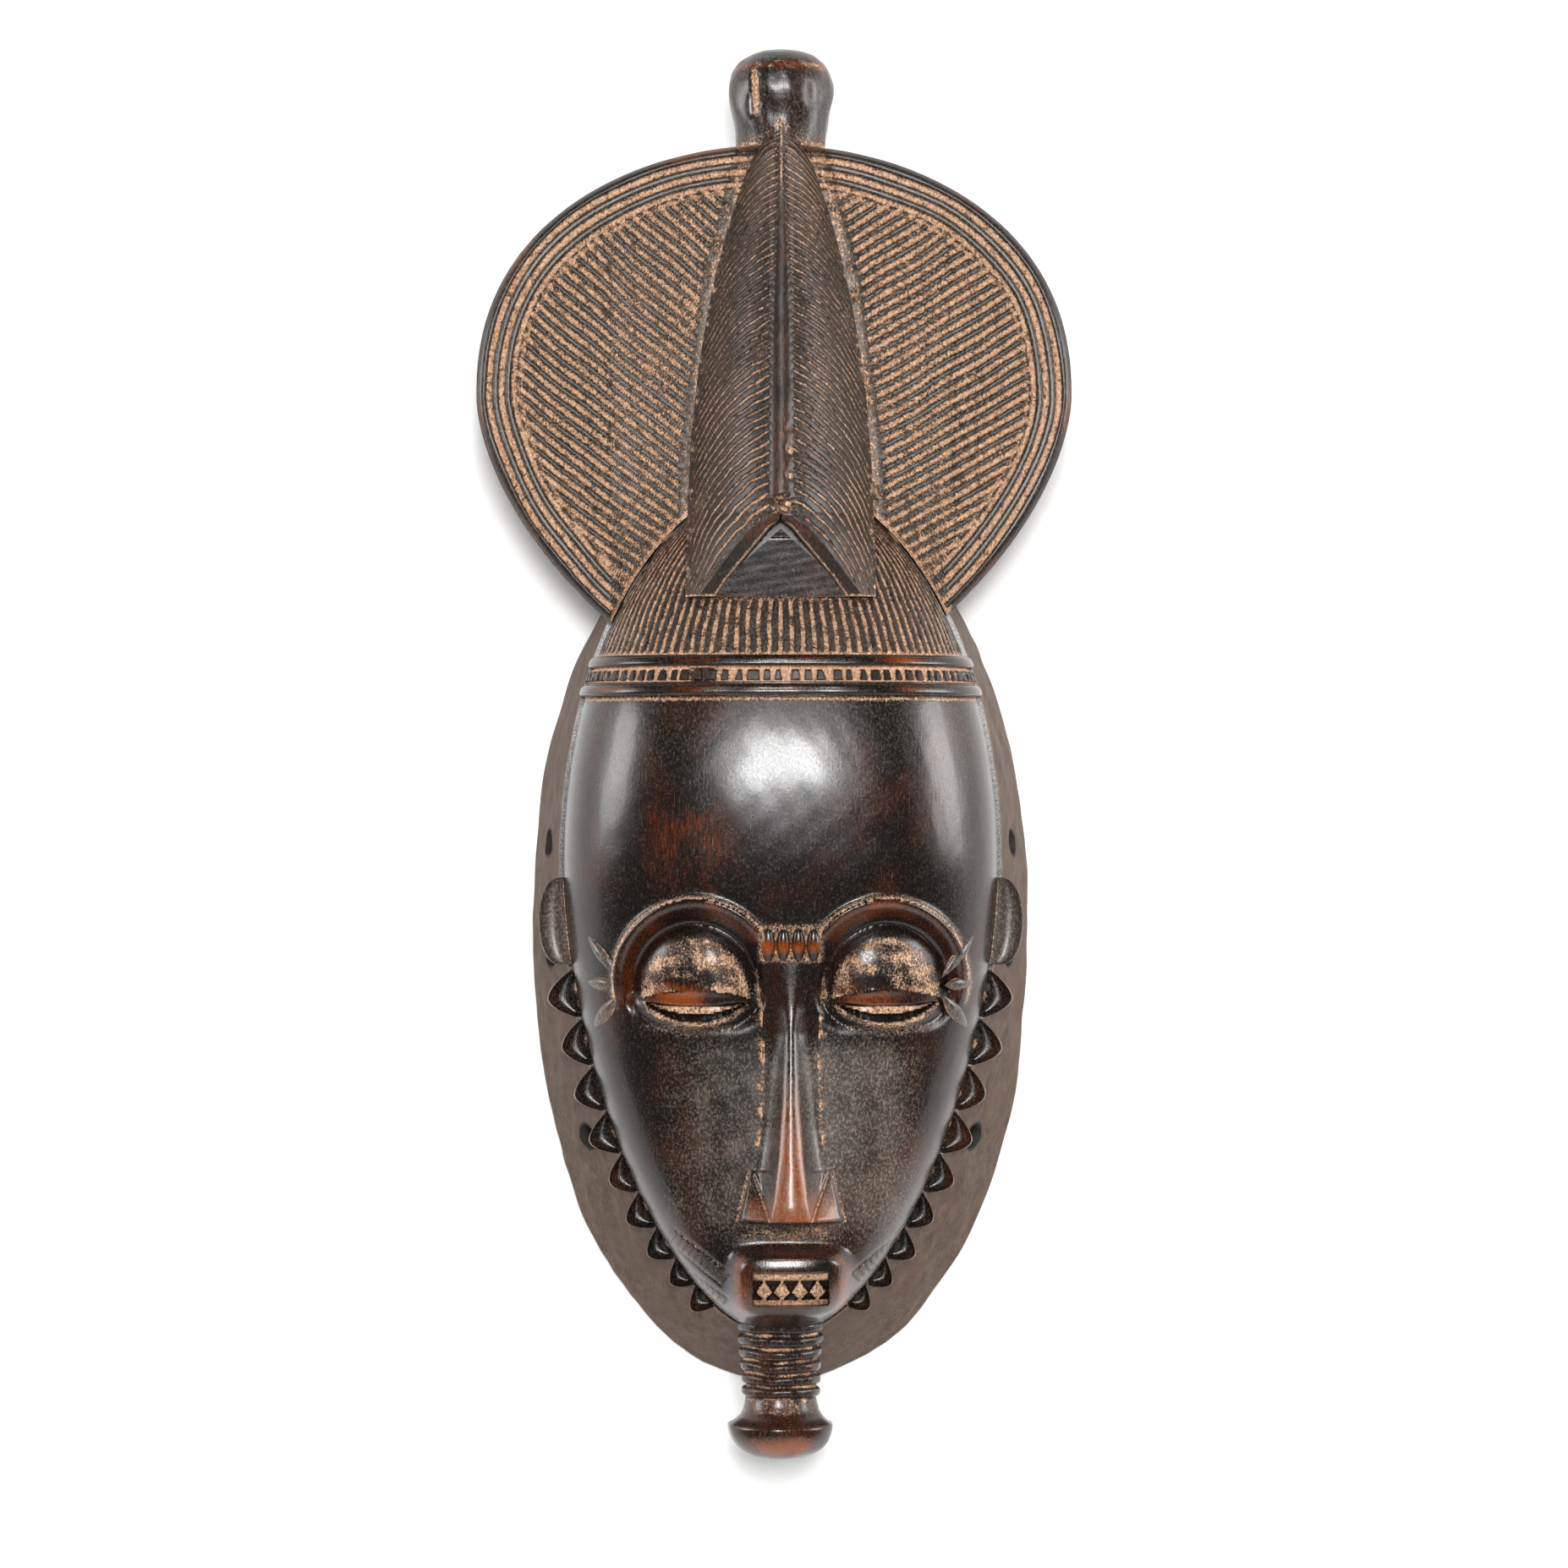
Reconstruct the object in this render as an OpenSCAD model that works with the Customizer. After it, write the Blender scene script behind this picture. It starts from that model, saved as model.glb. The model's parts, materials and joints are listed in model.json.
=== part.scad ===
// Carved wooden mask: a hollow head on a flared back rim, with a hair disc, a crest and a beard.
// The rim's back edge lies on the plane y = 0 and the face looks along -Y.
// The origin is on the rim's back plane, at the level of the eyes' outer corners plus a little.

/* [Back rim] */
// Width of the rim at its back edge
rim_w = 152; // [140:1:165]
// Level at which the rim is widest
rim_wide_z = 12; // [0:1:25]
// Top of the rim's back edge
rim_top_z = 136; // [126:1:142]
// Bottom of the rim's back edge
rim_bottom_z = -134; // [-145:1:-128]
// Depth of the rim from its back edge to the collar
rim_depth = 28; // [24:1:36]
// Thickness of the rim's wall
rim_wall = 9; // [8:0.5:12]
// Diameter of a lacing hole
lacing_d = 8; // [5:0.5:9]
// Levels of the three lacing holes on each side
lacing_z = [31, -2, -57]; // [-80:1:60]

/* [Head] */
// Width of the head at its widest level
head_w = 130; // [118:1:136]
// Level at which the head is widest
head_wide_z = 25; // [15:1:35]
// Top of the crown
crown_z = 140; // [132:1:146]
// Underside of the chin
chin_z = -116; // [-122:1:-110]
// How far the forehead stands out from the collar
head_depth = 51; // [42:1:60]
// Thickness of the hollow head's wall
head_wall = 10; // [8:0.5:12]
// Height of the solid wood left behind the chin
chin_solid = 24; // [20:1:34]
// Sideways shift of the carved features, as carved
face_x = 3; // [-4:0.5:4]
// Level of the seam between face and hair cap
seam_z = 81; // [78:1:86]

/* [Face] */
// Level of the closed eyes
eye_z = -18; // [-22:1:-12]
// Distance from the middle of the face to the middle of an eye
eye_x = 28; // [25:1:30]
// Radius of the brow arch
brow_r = 22; // [19:1:24]
// Width of the nose across the nostrils
nose_w = 30; // [24:1:34]
// Level of the nose's underside
nose_z = -79; // [-84:1:-74]
// How far the nose stands out at its tip
nose_h = 14; // [9:1:18]
// Level of the middle of the mouth
mouth_z = -98; // [-101:1:-96]
// Width of the lips
mouth_w = 36; // [28:1:40]
// How far the lips stand out
mouth_h = 6; // [3:0.5:9]

/* [Collar and ears] */
// Thickness of the collar plate
collar_t = 5; // [4:0.5:7]
// Ledge of the collar outside the head
collar_step = 1.5; // [1:0.1:3]
// Number of collar teeth on each side
teeth = 9; // [6:1:10]
// Length of a collar tooth
tooth_l = 8.5; // [5:0.5:11]
// Width of a collar tooth at its root
tooth_w = 11; // [8:0.5:12]
// Height of an ear
ear_h = 26; // [18:1:32]
// How far an ear stands out from the head
ear_out = 7; // [5:0.5:10]
// Thickness of an ear
ear_t = 6; // [4:0.5:8]
// Level of the middle of an ear
ear_z = 8; // [2:1:14]

/* [Headband] */
// Height of each plain fillet
fillet_h = 3.5; // [2.5:0.1:4.5]
// Height of the notched row between the fillets
row_h = 4.4; // [3:0.1:6]
// Gap between fillet and row
band_gap = 0.3; // [0.2:0.05:0.6]
// How far the fillets stand out from the head
fillet_out = 2.2; // [1.5:0.1:3]
// How far the row's blocks stand out from the head
notch_out = 1.6; // [1:0.1:2.2]

/* [Hair disc] */
// Width of the disc
disc_w = 178; // [160:1:190]
// Level at which the disc is widest
disc_wide_z = 165; // [155:1:172]
// Top of the disc
disc_top_z = 241; // [234:1:248]
// Thickness of the disc
disc_t = 9; // [7:0.5:11]
// Sideways shift of the disc, as carved
disc_x = -2; // [-4:0.5:4]

/* [Crest] */
// Width of the crest where it meets the hair cap
crest_w = 56; // [48:1:60]
// Width of the crest's upper end
crest_top_w = 16; // [10:1:22]
// How far the ridge stands out from the disc at its lower end
crest_h = 44; // [38:1:50]
// How far the ridge stands out from the disc at its upper end
crest_top_h = 14; // [8:1:18]
// Level of the crest's lower corners
crest_z = 104; // [102:1:108]
// Level of the ridge's lower end
gable_z = 130; // [126:1:134]
// How far the gable end overhangs the hair cap at its foot
eaves = 3.5; // [2.5:0.5:6]
// Width of the gable's edge round its recess
gable_edge = 6; // [4:0.5:9]
// Thickness of the gable panel
panel_t = 2; // [1.5:0.1:3]

/* [Top knob] */
// Diameter of the knob
knob_d = 31; // [26:1:34]
// Height of the knob above the disc
knob_h = 30; // [26:1:34]
// Width of the knob's waist
knob_waist = 27; // [22:1:29]
// How far the knob's axis stands in front of the disc's middle
knob_out = 6; // [3:0.5:8]

/* [Beard] */
// Diameter of the beard's top ring
beard_d = 26; // [22:1:28]
// Diameter of the beard's bottom ring
beard_end_d = 23; // [19:1:25]
// Number of rings
rings = 6; // [3:1:7]
// Height of one ring
ring_h = 3.9; // [3:0.1:4.5]
// Depth of the groove between two rings
ring_groove = 1.4; // [0.8:0.1:2]
// Diameter of the beard's end knob
tip_d = 32; // [28:1:36]
// Height of the beard's end knob
tip_h = 18.5; // [15:0.5:21]
// How far the stem's top is set into the chin
chin_socket = 6; // [4:0.5:9]

/* [Joinery] */
// Diameter of the wooden pegs
peg_d = 5; // [4:0.5:6]
// Length of the pegs between rim and head
peg_l = 18; // [14:1:22]
// Diameter of the turned tenons
tenon_d = 7; // [5:0.5:7]
// Length of the turned tenons
tenon_l = 9; // [7:0.5:12]
// Radial clearance of pegs and tenons in their holes
peg_fit = 0.05; // [0.02:0.01:0.15]
// Gap left between carved faces that meet
seat = 0.05; // [0.02:0.01:0.15]

/* [Hidden] */
$fn = 64;

oval_steps = 72;       // points round an oval
head_cols = 60;        // points across the head
face_rows = 72;        // levels up the face
cap_rows = 16;         // levels up the hair cap
hollow_cols = 20;      // points across the hollow
hollow_rows = 16;      // levels up the hollow
crest_rows = 30;       // levels up the crest
crest_cols = 16;       // points across the crest
mark_sink = 2;         // how deep the raised marks are let into the face
head_base = rim_depth + collar_t;   // depth at which the head starts
disc_front = head_base + disc_t;    // depth of the disc's carved face
disc_mid = head_base + disc_t / 2;  // depth of the disc's middle
band_z = seam_z - row_h / 2 - band_gap - fillet_h;   // lowest level of the headband
knob_z = disc_top_z - 3;            // level of the knob's foot
beard_z = chin_z + chin_socket;     // level of the beard stem's top
beard_depth = head_base + beard_d / 2 + 0.5;   // depth of the beard's axis
stem_h = rings * ring_h;            // height of the ringed stem
wood = "#3a2418";
dark_wood = "#241712";
rim_wood = "#6b574a";
clay = "#a87f60";

// Depth is measured forwards from the wall, which is along -Y.
function at(x, depth, z) = [x, -depth, z];
function lerp(a, b, t) = a + (b - a) * t;
function clamp01(t) = max(0, min(1, t));
function smooth(t) = let (c = clamp01(t)) c * c * (3 - 2 * c);
function bump(v, w, p) = exp(-pow(abs(v / w), p));

// A hand-shaped oval: half width at level z, from its widest level, top and bottom.
// up and down are pairs of powers that set how full the oval is above and below.
function oval_half(z, half, wide, top, bottom, up, down) =
    let (t = z > wide ? (z - wide) / (top - wide) : (wide - z) / (wide - bottom))
    let (f = z > wide ? up : down)
    half * pow(max(0, 1 - pow(min(1, t), f[0])), f[1]);

function oval_points(half, wide, top, bottom, up, down) =
    [for (i = [0:oval_steps - 1])
        let (a = 360 * i / oval_steps)
        let (z = wide + cos(a) * (cos(a) > 0 ? top - wide : wide - bottom))
        [sign(sin(a)) * oval_half(z, half, wide, top, bottom, up, down), z]];

head_up = [2, 0.5];
head_down = [1.7, 0.55];
rim_up = [2, 0.5];
rim_down = [2.4, 0.5];
disc_up = [2.3, 0.5];
disc_down = [1.7, 0.72];
disc_tail = 95;        // how far the disc's oval would reach below its widest level

function head_half(z, grow) =
    oval_half(z, head_w / 2 + grow, head_wide_z, crown_z + grow, chin_z - grow, head_up, head_down);
function head_outline(grow) = oval_points(head_w / 2 + grow, head_wide_z, crown_z + grow,
    chin_z - grow, head_up, head_down);
function rim_half(z) = oval_half(z, rim_w / 2, rim_wide_z, rim_top_z, rim_bottom_z, rim_up, rim_down);
function rim_outline(grow) = oval_points(rim_w / 2 + grow, rim_wide_z, rim_top_z + grow,
    rim_bottom_z - grow, rim_up, rim_down);
disc_outline = [for (p = oval_points(disc_w / 2, disc_wide_z, disc_top_z,
    disc_wide_z - disc_tail, disc_up, disc_down)) [p[0] + disc_x, p[1]]];

// Share of the forehead's depth at each level, from below the chin to above the crown.
profile = [[-130, 0.7], [-116, 0.76], [-100, 0.8], [-79, 0.79], [-50, 0.8], [-17, 0.84], [8, 0.93],
    [30, 0.99], [55, 1], [81, 0.91], [104, 0.73], [122, 0.56], [140, 0.4], [155, 0.3]];

// A smooth curve through stations that are [level, value] pairs.
function curve(stations, z, i = 1) =
    z < stations[i + 1][0] || i == len(stations) - 3
    ? let (p = [for (k = [-1:2]) stations[i + k]])
      let (span = p[2][0] - p[1][0], t = clamp01((z - p[1][0]) / span))
      let (m1 = (p[2][1] - p[0][1]) / (p[2][0] - p[0][0]) * span)
      let (m2 = (p[3][1] - p[1][1]) / (p[3][0] - p[1][0]) * span)
      p[1][1] + t * (m1 + t * (3 * (p[2][1] - p[1][1]) - 2 * m1 - m2
      + t * (2 * (p[1][1] - p[2][1]) + m1 + m2)))
    : curve(stations, z, i + 1);

// How far the head's middle stands out from its base at level z.
crown_round = 9;       // powers that round the head over at the crown and the chin
chin_round = 20;
function head_out(z, grow) =
    let (top = crown_z + grow, bottom = chin_z - grow, up = z > head_wide_z)
    let (t = up ? (z - head_wide_z) / (top - head_wide_z) : (head_wide_z - z) / (head_wide_z - bottom))
    (head_depth * curve(profile, z) + grow)
    * sqrt(max(0, 1 - pow(min(1, t), up ? crown_round : chin_round)));

side_x = 2.6;          // powers that square the head's cross-section
side_y = 0.41;
function cheek(share) = pow(max(0, 1 - pow(abs(share), side_x)), side_y);
function head_depth_at(x, z, grow) =
    head_base + head_out(z, grow) * cheek(min(1, x / max(0.01, head_half(z, grow))));

// Columns lie closer together at the middle of the face than at its sides.
function column(j, cols) = let (u = 2 * j / cols - 1) sin(90 * (0.7 * u + 0.3 * pow(u, 7)));

// The carved features, as a height over the plain head. x is from the middle of the face.
arch_z = eye_z + 9;
function nose_relief(x, z) =
    let (t = clamp01((arch_z + 12 - z) / (arch_z + 12 - nose_z)))
    let (half = lerp(4.5, nose_w / 2 + 1, pow(t, 4)))
    let (over = smooth((arch_z + 16 - z) / 8) * smooth((z - nose_z + 1.5) / 3))
    lerp(-9, lerp(1, nose_h, t), bump(x, half, 2.6) * over);
function eye_relief(x, z) =
    let (off = abs(x) - eye_x)
    let (r = norm([off, z - arch_z]))
    let (lid = norm([off / 17, (z - eye_z) / (z > eye_z ? 15 : 6)]))
    let (slit = eye_z - 3 * (1 - pow(off / 17, 2)))
    2.6 * bump(r - brow_r, 3.6, 4) * smooth((z - arch_z + 8) / 5)
    - 4.5 * smooth((brow_r - r) / 4) * smooth((z - eye_z + 12) / 10)
    + 5.5 * sqrt(max(0, 1 - lid * lid))
    - 2.5 * bump(z - slit, 1.3, 2) * bump(off, 17, 8);
function mouth_relief(x, z) =
    mouth_h * bump(x, mouth_w / 2, 6) * bump(z - mouth_z, 9.5, 4)
    - 3 * bump(x, 11.5, 10) * bump(z - mouth_z, 5, 8);
function relief(x, z) = max(nose_relief(x, z), eye_relief(x, z)) + mouth_relief(x, z);

// One line across the head from left to right, ending at the given depth behind its base.
function plain_line(z, grow, cols, behind) =
    let (half = head_half(z, grow))
    [for (j = [0:cols])
        let (share = column(j, cols))
        let (out = j == 0 || j == cols ? -behind : head_out(z, grow) * cheek(share))
        at(half * share, head_base + out, z)];
function face_line(z) = [for (p = plain_line(z, 0, head_cols, 0))
    let (out = -p[1] - head_base)
    at(p[0], head_base + out + relief(p[0] - face_x, z) * smooth(out / 20), z)];

// A closed solid through level loops of equal length, which turn the same way.
module loft(loops) {
    n = len(loops[0]);
    last = (len(loops) - 1) * n;
    polyhedron([for (r = loops) each r],
        concat([for (i = [0:len(loops) - 2]) for (j = [0:n - 1])
            let (a = i * n + j, b = i * n + (j + 1) % n)
            each [[a, a + n, b], [b, a + n, b + n]]],
            [[for (j = [0:n - 1]) j], [for (j = [n - 1:-1:0]) last + j]]), convexity = 8);
}

// A closed band through rings of equal length, the last joined to the first.
module ring_band(bands) {
    n = len(bands[0]);
    count = len(bands);
    polyhedron([for (r = bands) each r],
        [for (i = [0:count - 1]) for (j = [0:n - 1])
            let (a = i * n + j, b = i * n + (j + 1) % n)
            let (c = ((i + 1) % count) * n + j, d = ((i + 1) % count) * n + (j + 1) % n)
            each [[a, b, c], [b, d, c]]], convexity = 8);
}

function raised(outline, depth) = [for (p = outline) at(p[0], depth, p[1])];
function reversed(list) = [for (i = [len(list) - 1:-1:0]) list[i]];

module hollow(from, to) {
    loft([for (i = [0:hollow_rows])
        plain_line(lerp(from, to, i / hollow_rows), -head_wall, hollow_cols, 1)]);
}

// Pegs stand in the head's wall, and run through the collar into the rim.
peg_angles = [22, 68, 112, 145];
peg_line = head_outline(-4);
module peg_places() {
    for (a = peg_angles, side = [-1, 1]) {
        p = peg_line[round(oval_steps * a / 360)];
        translate(at(side * p[0], 0, p[1])) children();
    }
}

module peg(from, to, diameter, extra) {
    translate(at(0, from - extra, 0)) rotate([90, 0, 0])
        cylinder(d = diameter + 2 * extra, h = to - from + 2 * extra);
}

rim_peg_in = 6;        // how far a peg runs into the rim
module rim_peg(extra) {
    peg(rim_depth - rim_peg_in, rim_depth - rim_peg_in + peg_l, peg_d, extra);
}

module rim_wall() {
    color(rim_wood) difference() {
        ring_band([
            raised(rim_outline(0), 0),
            raised(rim_outline(-rim_wall), 0),
            raised(head_outline(-head_wall), rim_depth),
            raised(head_outline(collar_step), rim_depth)]);
        lacing_holes();
        peg_places() rim_peg(peg_fit);
    }
}

// A lacing hole is square to the rim's slope halfway along its depth.
function rim_mid(z) = (rim_half(z) + head_half(z, collar_step)) / 2;
function rim_flare(z) = (rim_half(z) - head_half(z, collar_step)) / rim_depth;
module lacing_holes() {
    for (side = [-1, 1], z = lacing_z) {
        drop = rim_mid(z + 1) - rim_mid(z);
        lift = atan(norm([1, rim_flare(z)]) / -drop);
        translate(at(side * (rim_mid(z) - rim_wall / 2), rim_depth / 2, z))
            rotate([0, lift < 0 ? 180 + lift : lift, atan2(-rim_flare(z), side)])
            cylinder(d = lacing_d, h = 4 * rim_wall, center = true);
    }
}

// Teeth stand along the head's outline, from below the ear to beside the beard.
tooth_from = 106;
tooth_to = 156;
function head_edge(a) = let (z = head_wide_z + cos(a) * (cos(a) > 0 ? crown_z - head_wide_z
    : head_wide_z - chin_z)) [head_half(z, collar_step), z];

module tooth_collar() {
    color(dark_wood) difference() {
        translate(at(0, rim_depth + seat, 0)) rotate([90, 0, 0])
            linear_extrude(collar_t - 2 * seat) difference() {
                union() {
                    polygon(head_outline(collar_step));
                    for (side = [-1, 1], i = [0:teeth - 1])
                        collar_tooth(side, lerp(tooth_from, tooth_to, i / (teeth - 1)));
                }
                polygon(head_outline(-head_wall));
            }
        peg_places() rim_peg(peg_fit);
    }
}

module collar_tooth(side, a) {
    p = head_edge(a);
    q = head_edge(a + 1);
    translate([side * p[0], p[1]]) rotate(atan2(side * (q[1] - p[1]), q[0] - p[0]))
        polygon([[-tooth_w / 2, -4], [-tooth_w / 2, 0], [-tooth_w / 5, tooth_l * 0.85],
            [0, tooth_l], [tooth_w / 5, tooth_l * 0.85], [tooth_w / 2, 0], [tooth_w / 2, -4]]);
}

module face_shell() {
    low = chin_z + 0.4;
    high = seam_z - seat;
    color(wood) difference() {
        loft([for (i = [0:face_rows]) face_line(lerp(low, high, pow(i / face_rows, 1.25)))]);
        hollow(chin_z + chin_solid, seam_z + 1);
        peg_places() rim_peg(peg_fit);
        translate(at(0, beard_depth, beard_z - chin_solid))
            cylinder(d = beard_d + 2 * seat, h = chin_solid);
        translate(at(0, beard_depth, beard_z - 1))
            cylinder(d = tenon_d + 2 * peg_fit, h = tenon_l + 1 + peg_fit);
        brow_lozenges(seat);
        for (side = [-1, 1]) temple_leaves(side, seat);
    }
}

// An ear is a half moon whose straight side lies against the head.
module ear(side) {
    color(dark_wood) translate(at(0, head_base, ear_z)) rotate([90, 0, 0])
        linear_extrude(ear_t) mirror([side < 0 ? 1 : 0, 0]) polygon(concat(
            [for (i = [0:6]) let (z = lerp(-ear_h / 2, ear_h / 2, i / 6))
                [head_half(ear_z + z, seat), z]],
            [for (i = [0:16]) let (a = 90 - 180 * i / 16)
                [head_half(ear_z, collar_step) + ear_out * pow(abs(cos(a)), 0.8),
                ear_h / 2 * sin(a)]]));
}

function cap_level(i) = lerp(seam_z, crown_z - 0.4, sin(90 * i / cap_rows));
module hair_cap() {
    color(dark_wood) difference() {
        loft([for (i = [0:cap_rows]) plain_line(cap_level(i), 0, head_cols, 0)]);
        hollow(seam_z - 1, crown_z - head_wall - 0.4);
        peg_places() rim_peg(peg_fit);
        disc_peg_places() disc_peg(peg_fit);
    }
}

// The space that the hair cap takes up, for the pieces that rest on it.
module cap_seat() {
    loft([for (i = [0:cap_rows]) plain_line(cap_level(i), seat, head_cols, 0)]);
}

// A belt follows the head. Its face runs through the given levels, each with its own rise.
function head_point(share, z, grow) =
    at(head_half(z, grow) * share, head_base + head_out(z, grow) * cheek(share), z);
module belt(levels, steps, rise) {
    shares = [for (j = [0:steps]) column(j, steps)];
    top = levels[len(levels) - 1];
    loft([for (j = [0:steps])
        concat([head_point(shares[j], levels[0], seat), head_point(shares[j], top, seat)],
            [for (i = [len(levels) - 1:-1:0]) head_point(shares[j], levels[i], rise[i][j % 4])])]);
}

// A fillet is a plain belt with rounded edges.
module fillet(from) {
    edge = [for (k = [0:3]) fillet_out - 0.7];
    face = [for (k = [0:3]) fillet_out];
    belt([from, from + 0.25 * fillet_h, from + 0.75 * fillet_h, from + fillet_h], head_cols,
        [edge, face, face, edge]);
}

module lower_fillet() {
    color(wood) fillet(band_z);
}

module upper_fillet() {
    color(wood) fillet(seam_z + row_h / 2 + band_gap);
}

// The notched row is a thin belt whose face steps in and out.
module notched_row() {
    blocks = [notch_out, notch_out, notch_out / 2, notch_out / 2];
    color(clay) belt([seam_z - row_h / 2, seam_z + row_h / 2], 2 * head_cols, [blocks, blocks]);
}

module hair_disc() {
    color(wood) difference() {
        translate(at(0, head_base + seat, 0)) rotate([90, 0, 0])
            linear_extrude(disc_t - seat) difference() {
                polygon(disc_outline);
                polygon(head_outline(seat));
                translate([-disc_w, rim_bottom_z]) square([2 * disc_w, seam_z + 15 - rim_bottom_z]);
                translate([-knob_d / 2, knob_z]) square([knob_d, knob_h]);
            }
        disc_peg_places() disc_peg(peg_fit);
        crest_peg_places() crest_peg(peg_fit);
        translate(at(0, disc_mid, knob_z - 2 * tenon_l - peg_fit))
            cylinder(d = peg_d + 2 * peg_fit, h = 2 * tenon_l + 1);
    }
}

// Pegs through the crown's edge hold the disc on the hair cap.
disc_peg_x = [-34, 0, 34];
disc_peg_d = 4;
disc_peg_l = 14;
// Level of the crown's outline at a distance x from the middle.
function crown_edge(x) = head_wide_z + (crown_z - head_wide_z)
    * pow(1 - pow(2 * abs(x) / head_w, 1 / head_up[1]), 1 / head_up[0]);
module disc_peg_places() {
    for (x = disc_peg_x) translate(at(x, disc_mid, crown_edge(x))) children();
}

module disc_peg(extra) {
    cylinder(d = disc_peg_d + 2 * extra, h = disc_peg_l + 2 * extra, center = true);
}

// Half width of the crest at its foot, and the lines of its ridge, eaves and gable.
function crest_share(z) = clamp01((z - crest_z) / (knob_z - crest_z));
function crest_half(z) = lerp(crest_w, crest_top_w, pow(crest_share(z), 2.6)) / 2;
function ridge_depth(z) = disc_front + lerp(crest_h, crest_top_h, pow(crest_share(z), 1.25));
function eaves_depth(z) = max(disc_front + 0.5, head_depth_at(crest_half(z), z, 0) + eaves);
panel_depth = head_depth_at(0, crest_z, 0) + 0.3;
gable_foot = panel_depth + eaves;
function gable_depth(z) = lerp(gable_foot, ridge_depth(gable_z), (z - crest_z) / (gable_z - crest_z));
function crest_face(x, z) = min(gable_depth(z), lerp(ridge_depth(z), eaves_depth(z),
    pow(abs(x) / crest_half(z), 2.2)));

module crest() {
    back = disc_front + seat;
    color(dark_wood) difference() {
        loft([for (i = [0:crest_rows])
            let (z = lerp(crest_z, knob_z - seat, pow(i / crest_rows, 1.5)), half = crest_half(z))
            concat([at(-half, back, z)],
                [for (j = [0:crest_cols]) let (x = (2 * j / crest_cols - 1) * half)
                    at(x, crest_face(x, z), z)],
                [at(half, back, z)])]);
        cap_seat();
        crest_peg_places() crest_peg(peg_fit);
        gable_recess(panel_depth, 2 * crest_h, 0);
    }
}

// The recess in the gable end is a triangle under the roof, cut straight back.
module gable_recess(from, depth, inset) {
    half = crest_w / 2 - gable_edge - inset;
    top = gable_z - gable_edge - inset;
    translate(at(0, from, 0)) rotate([90, 0, 0]) linear_extrude(depth)
        polygon([[-half, crest_z + inset], [half, crest_z + inset], [0, top]]);
}

module gable_panel() {
    color(dark_wood) gable_recess(panel_depth + seat, panel_t, 2 * seat);
}

crest_peg_z = [158, 200];
module crest_peg_places() {
    for (z = crest_peg_z) translate([0, 0, z]) children();
}

module crest_peg(extra) {
    peg(head_base + 1, disc_front + 8, peg_d, extra);
}

module top_knob() {
    waist = knob_waist / 2;
    wide = knob_d / 2;
    turn = knob_h * 0.55;      // level at which the knob starts to round over
    color(wood) translate(at(0, disc_mid + knob_out, knob_z + seat)) rotate_extrude()
        polygon(concat([[0, 0], [waist, 0]],
            [for (i = [1:6]) [lerp(waist, wide, smooth(i / 6)), turn * i / 6]],
            [for (i = [1:12]) [wide * pow(cos(7.5 * i), 0.8), lerp(turn, knob_h, sin(7.5 * i))]]));
    color(wood) translate(at(0, disc_mid, knob_z + seat - 2 * tenon_l))
        cylinder(d = peg_d, h = 2 * tenon_l + 1);
}

// Four tall lozenges side by side on the bridge of the nose.
module brow_lozenges(extra) {
    pitch = 4.4;
    z = arch_z + 11;
    for (i = [-1.5:1.5]) {
        x = face_x + i * pitch;
        wide = pitch / 2 - 0.25 + extra;
        tall = 4.6 + extra;
        translate(at(x, head_depth_at(x, z, 0) - mark_sink - extra, z)) rotate([90, 0, 0])
            linear_extrude(mark_sink + 3.4)
            polygon([[wide, 0], [0.6, tall], [-0.6, tall], [-wide, 0], [-0.6, -tall], [0.6, -tall]]);
    }
}

module brow_marks() {
    color(wood) brow_lozenges(0);
}

// Three leaves that fan out from the eye's outer corner.
module temple_leaves(side, extra) {
    for (k = [-1:1]) {
        z = arch_z + k * 8;
        x = side * (head_half(z, 0) - 7);
        translate(at(x, head_depth_at(x, z, 0), z)) rotate([0, 0, side * 45]) rotate([90, 0, 0])
            rotate(side * k * 40) translate([0, 0, -mark_sink - extra])
            linear_extrude(mark_sink + 1.6) polygon([for (i = [0:11]) let (a = 30 * i)
                [(5.4 + extra) * cos(a), (2.2 + extra) * sin(a)]]);
    }
}

module temple_marks(side) {
    color(wood) temple_leaves(side, 0);
}

module beard_stem() {
    color(dark_wood) translate(at(0, beard_depth, beard_z - seat - stem_h)) difference() {
        rotate_extrude() polygon(concat([[0, 0]], [for (i = [0:rings - 1])
            let (r = lerp(beard_end_d, beard_d, i / (rings - 1)) / 2)
            each [[r - ring_groove, i * ring_h], [r, i * ring_h + 0.8],
                [r, (i + 1) * ring_h - 0.8], [r - ring_groove, (i + 1) * ring_h]]],
            [[tenon_d / 2, stem_h], [tenon_d / 2, stem_h + tenon_l], [0, stem_h + tenon_l]]));
        translate([0, 0, -1]) cylinder(d = tenon_d + 2 * peg_fit, h = tenon_l + 1 + peg_fit);
    }
}

// The tip is a flattened dome with a sharp shoulder and a flared neck.
module beard_tip() {
    half = tip_d / 2;
    dome = tip_h * 0.54;
    neck = beard_end_d / 2 - ring_groove;
    color(wood) translate(at(0, beard_depth, beard_z - 2 * seat - stem_h - tip_h)) rotate_extrude()
        polygon(concat([for (i = [0:10]) [half * pow(sin(9 * i), 0.9), dome * (1 - cos(9 * i))]],
            [[half - 0.4, dome + 2], [lerp(neck, half, 0.45), tip_h * 0.78], [neck, tip_h],
            [tenon_d / 2, tip_h], [tenon_d / 2, tip_h + tenon_l], [0, tip_h + tenon_l]]));
}

module rim_pegs() {
    color(clay) peg_places() rim_peg(0);
}

module disc_pegs() {
    color(clay) disc_peg_places() disc_peg(0);
}

module crest_pegs() {
    color(clay) crest_peg_places() crest_peg(0);
}

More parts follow.
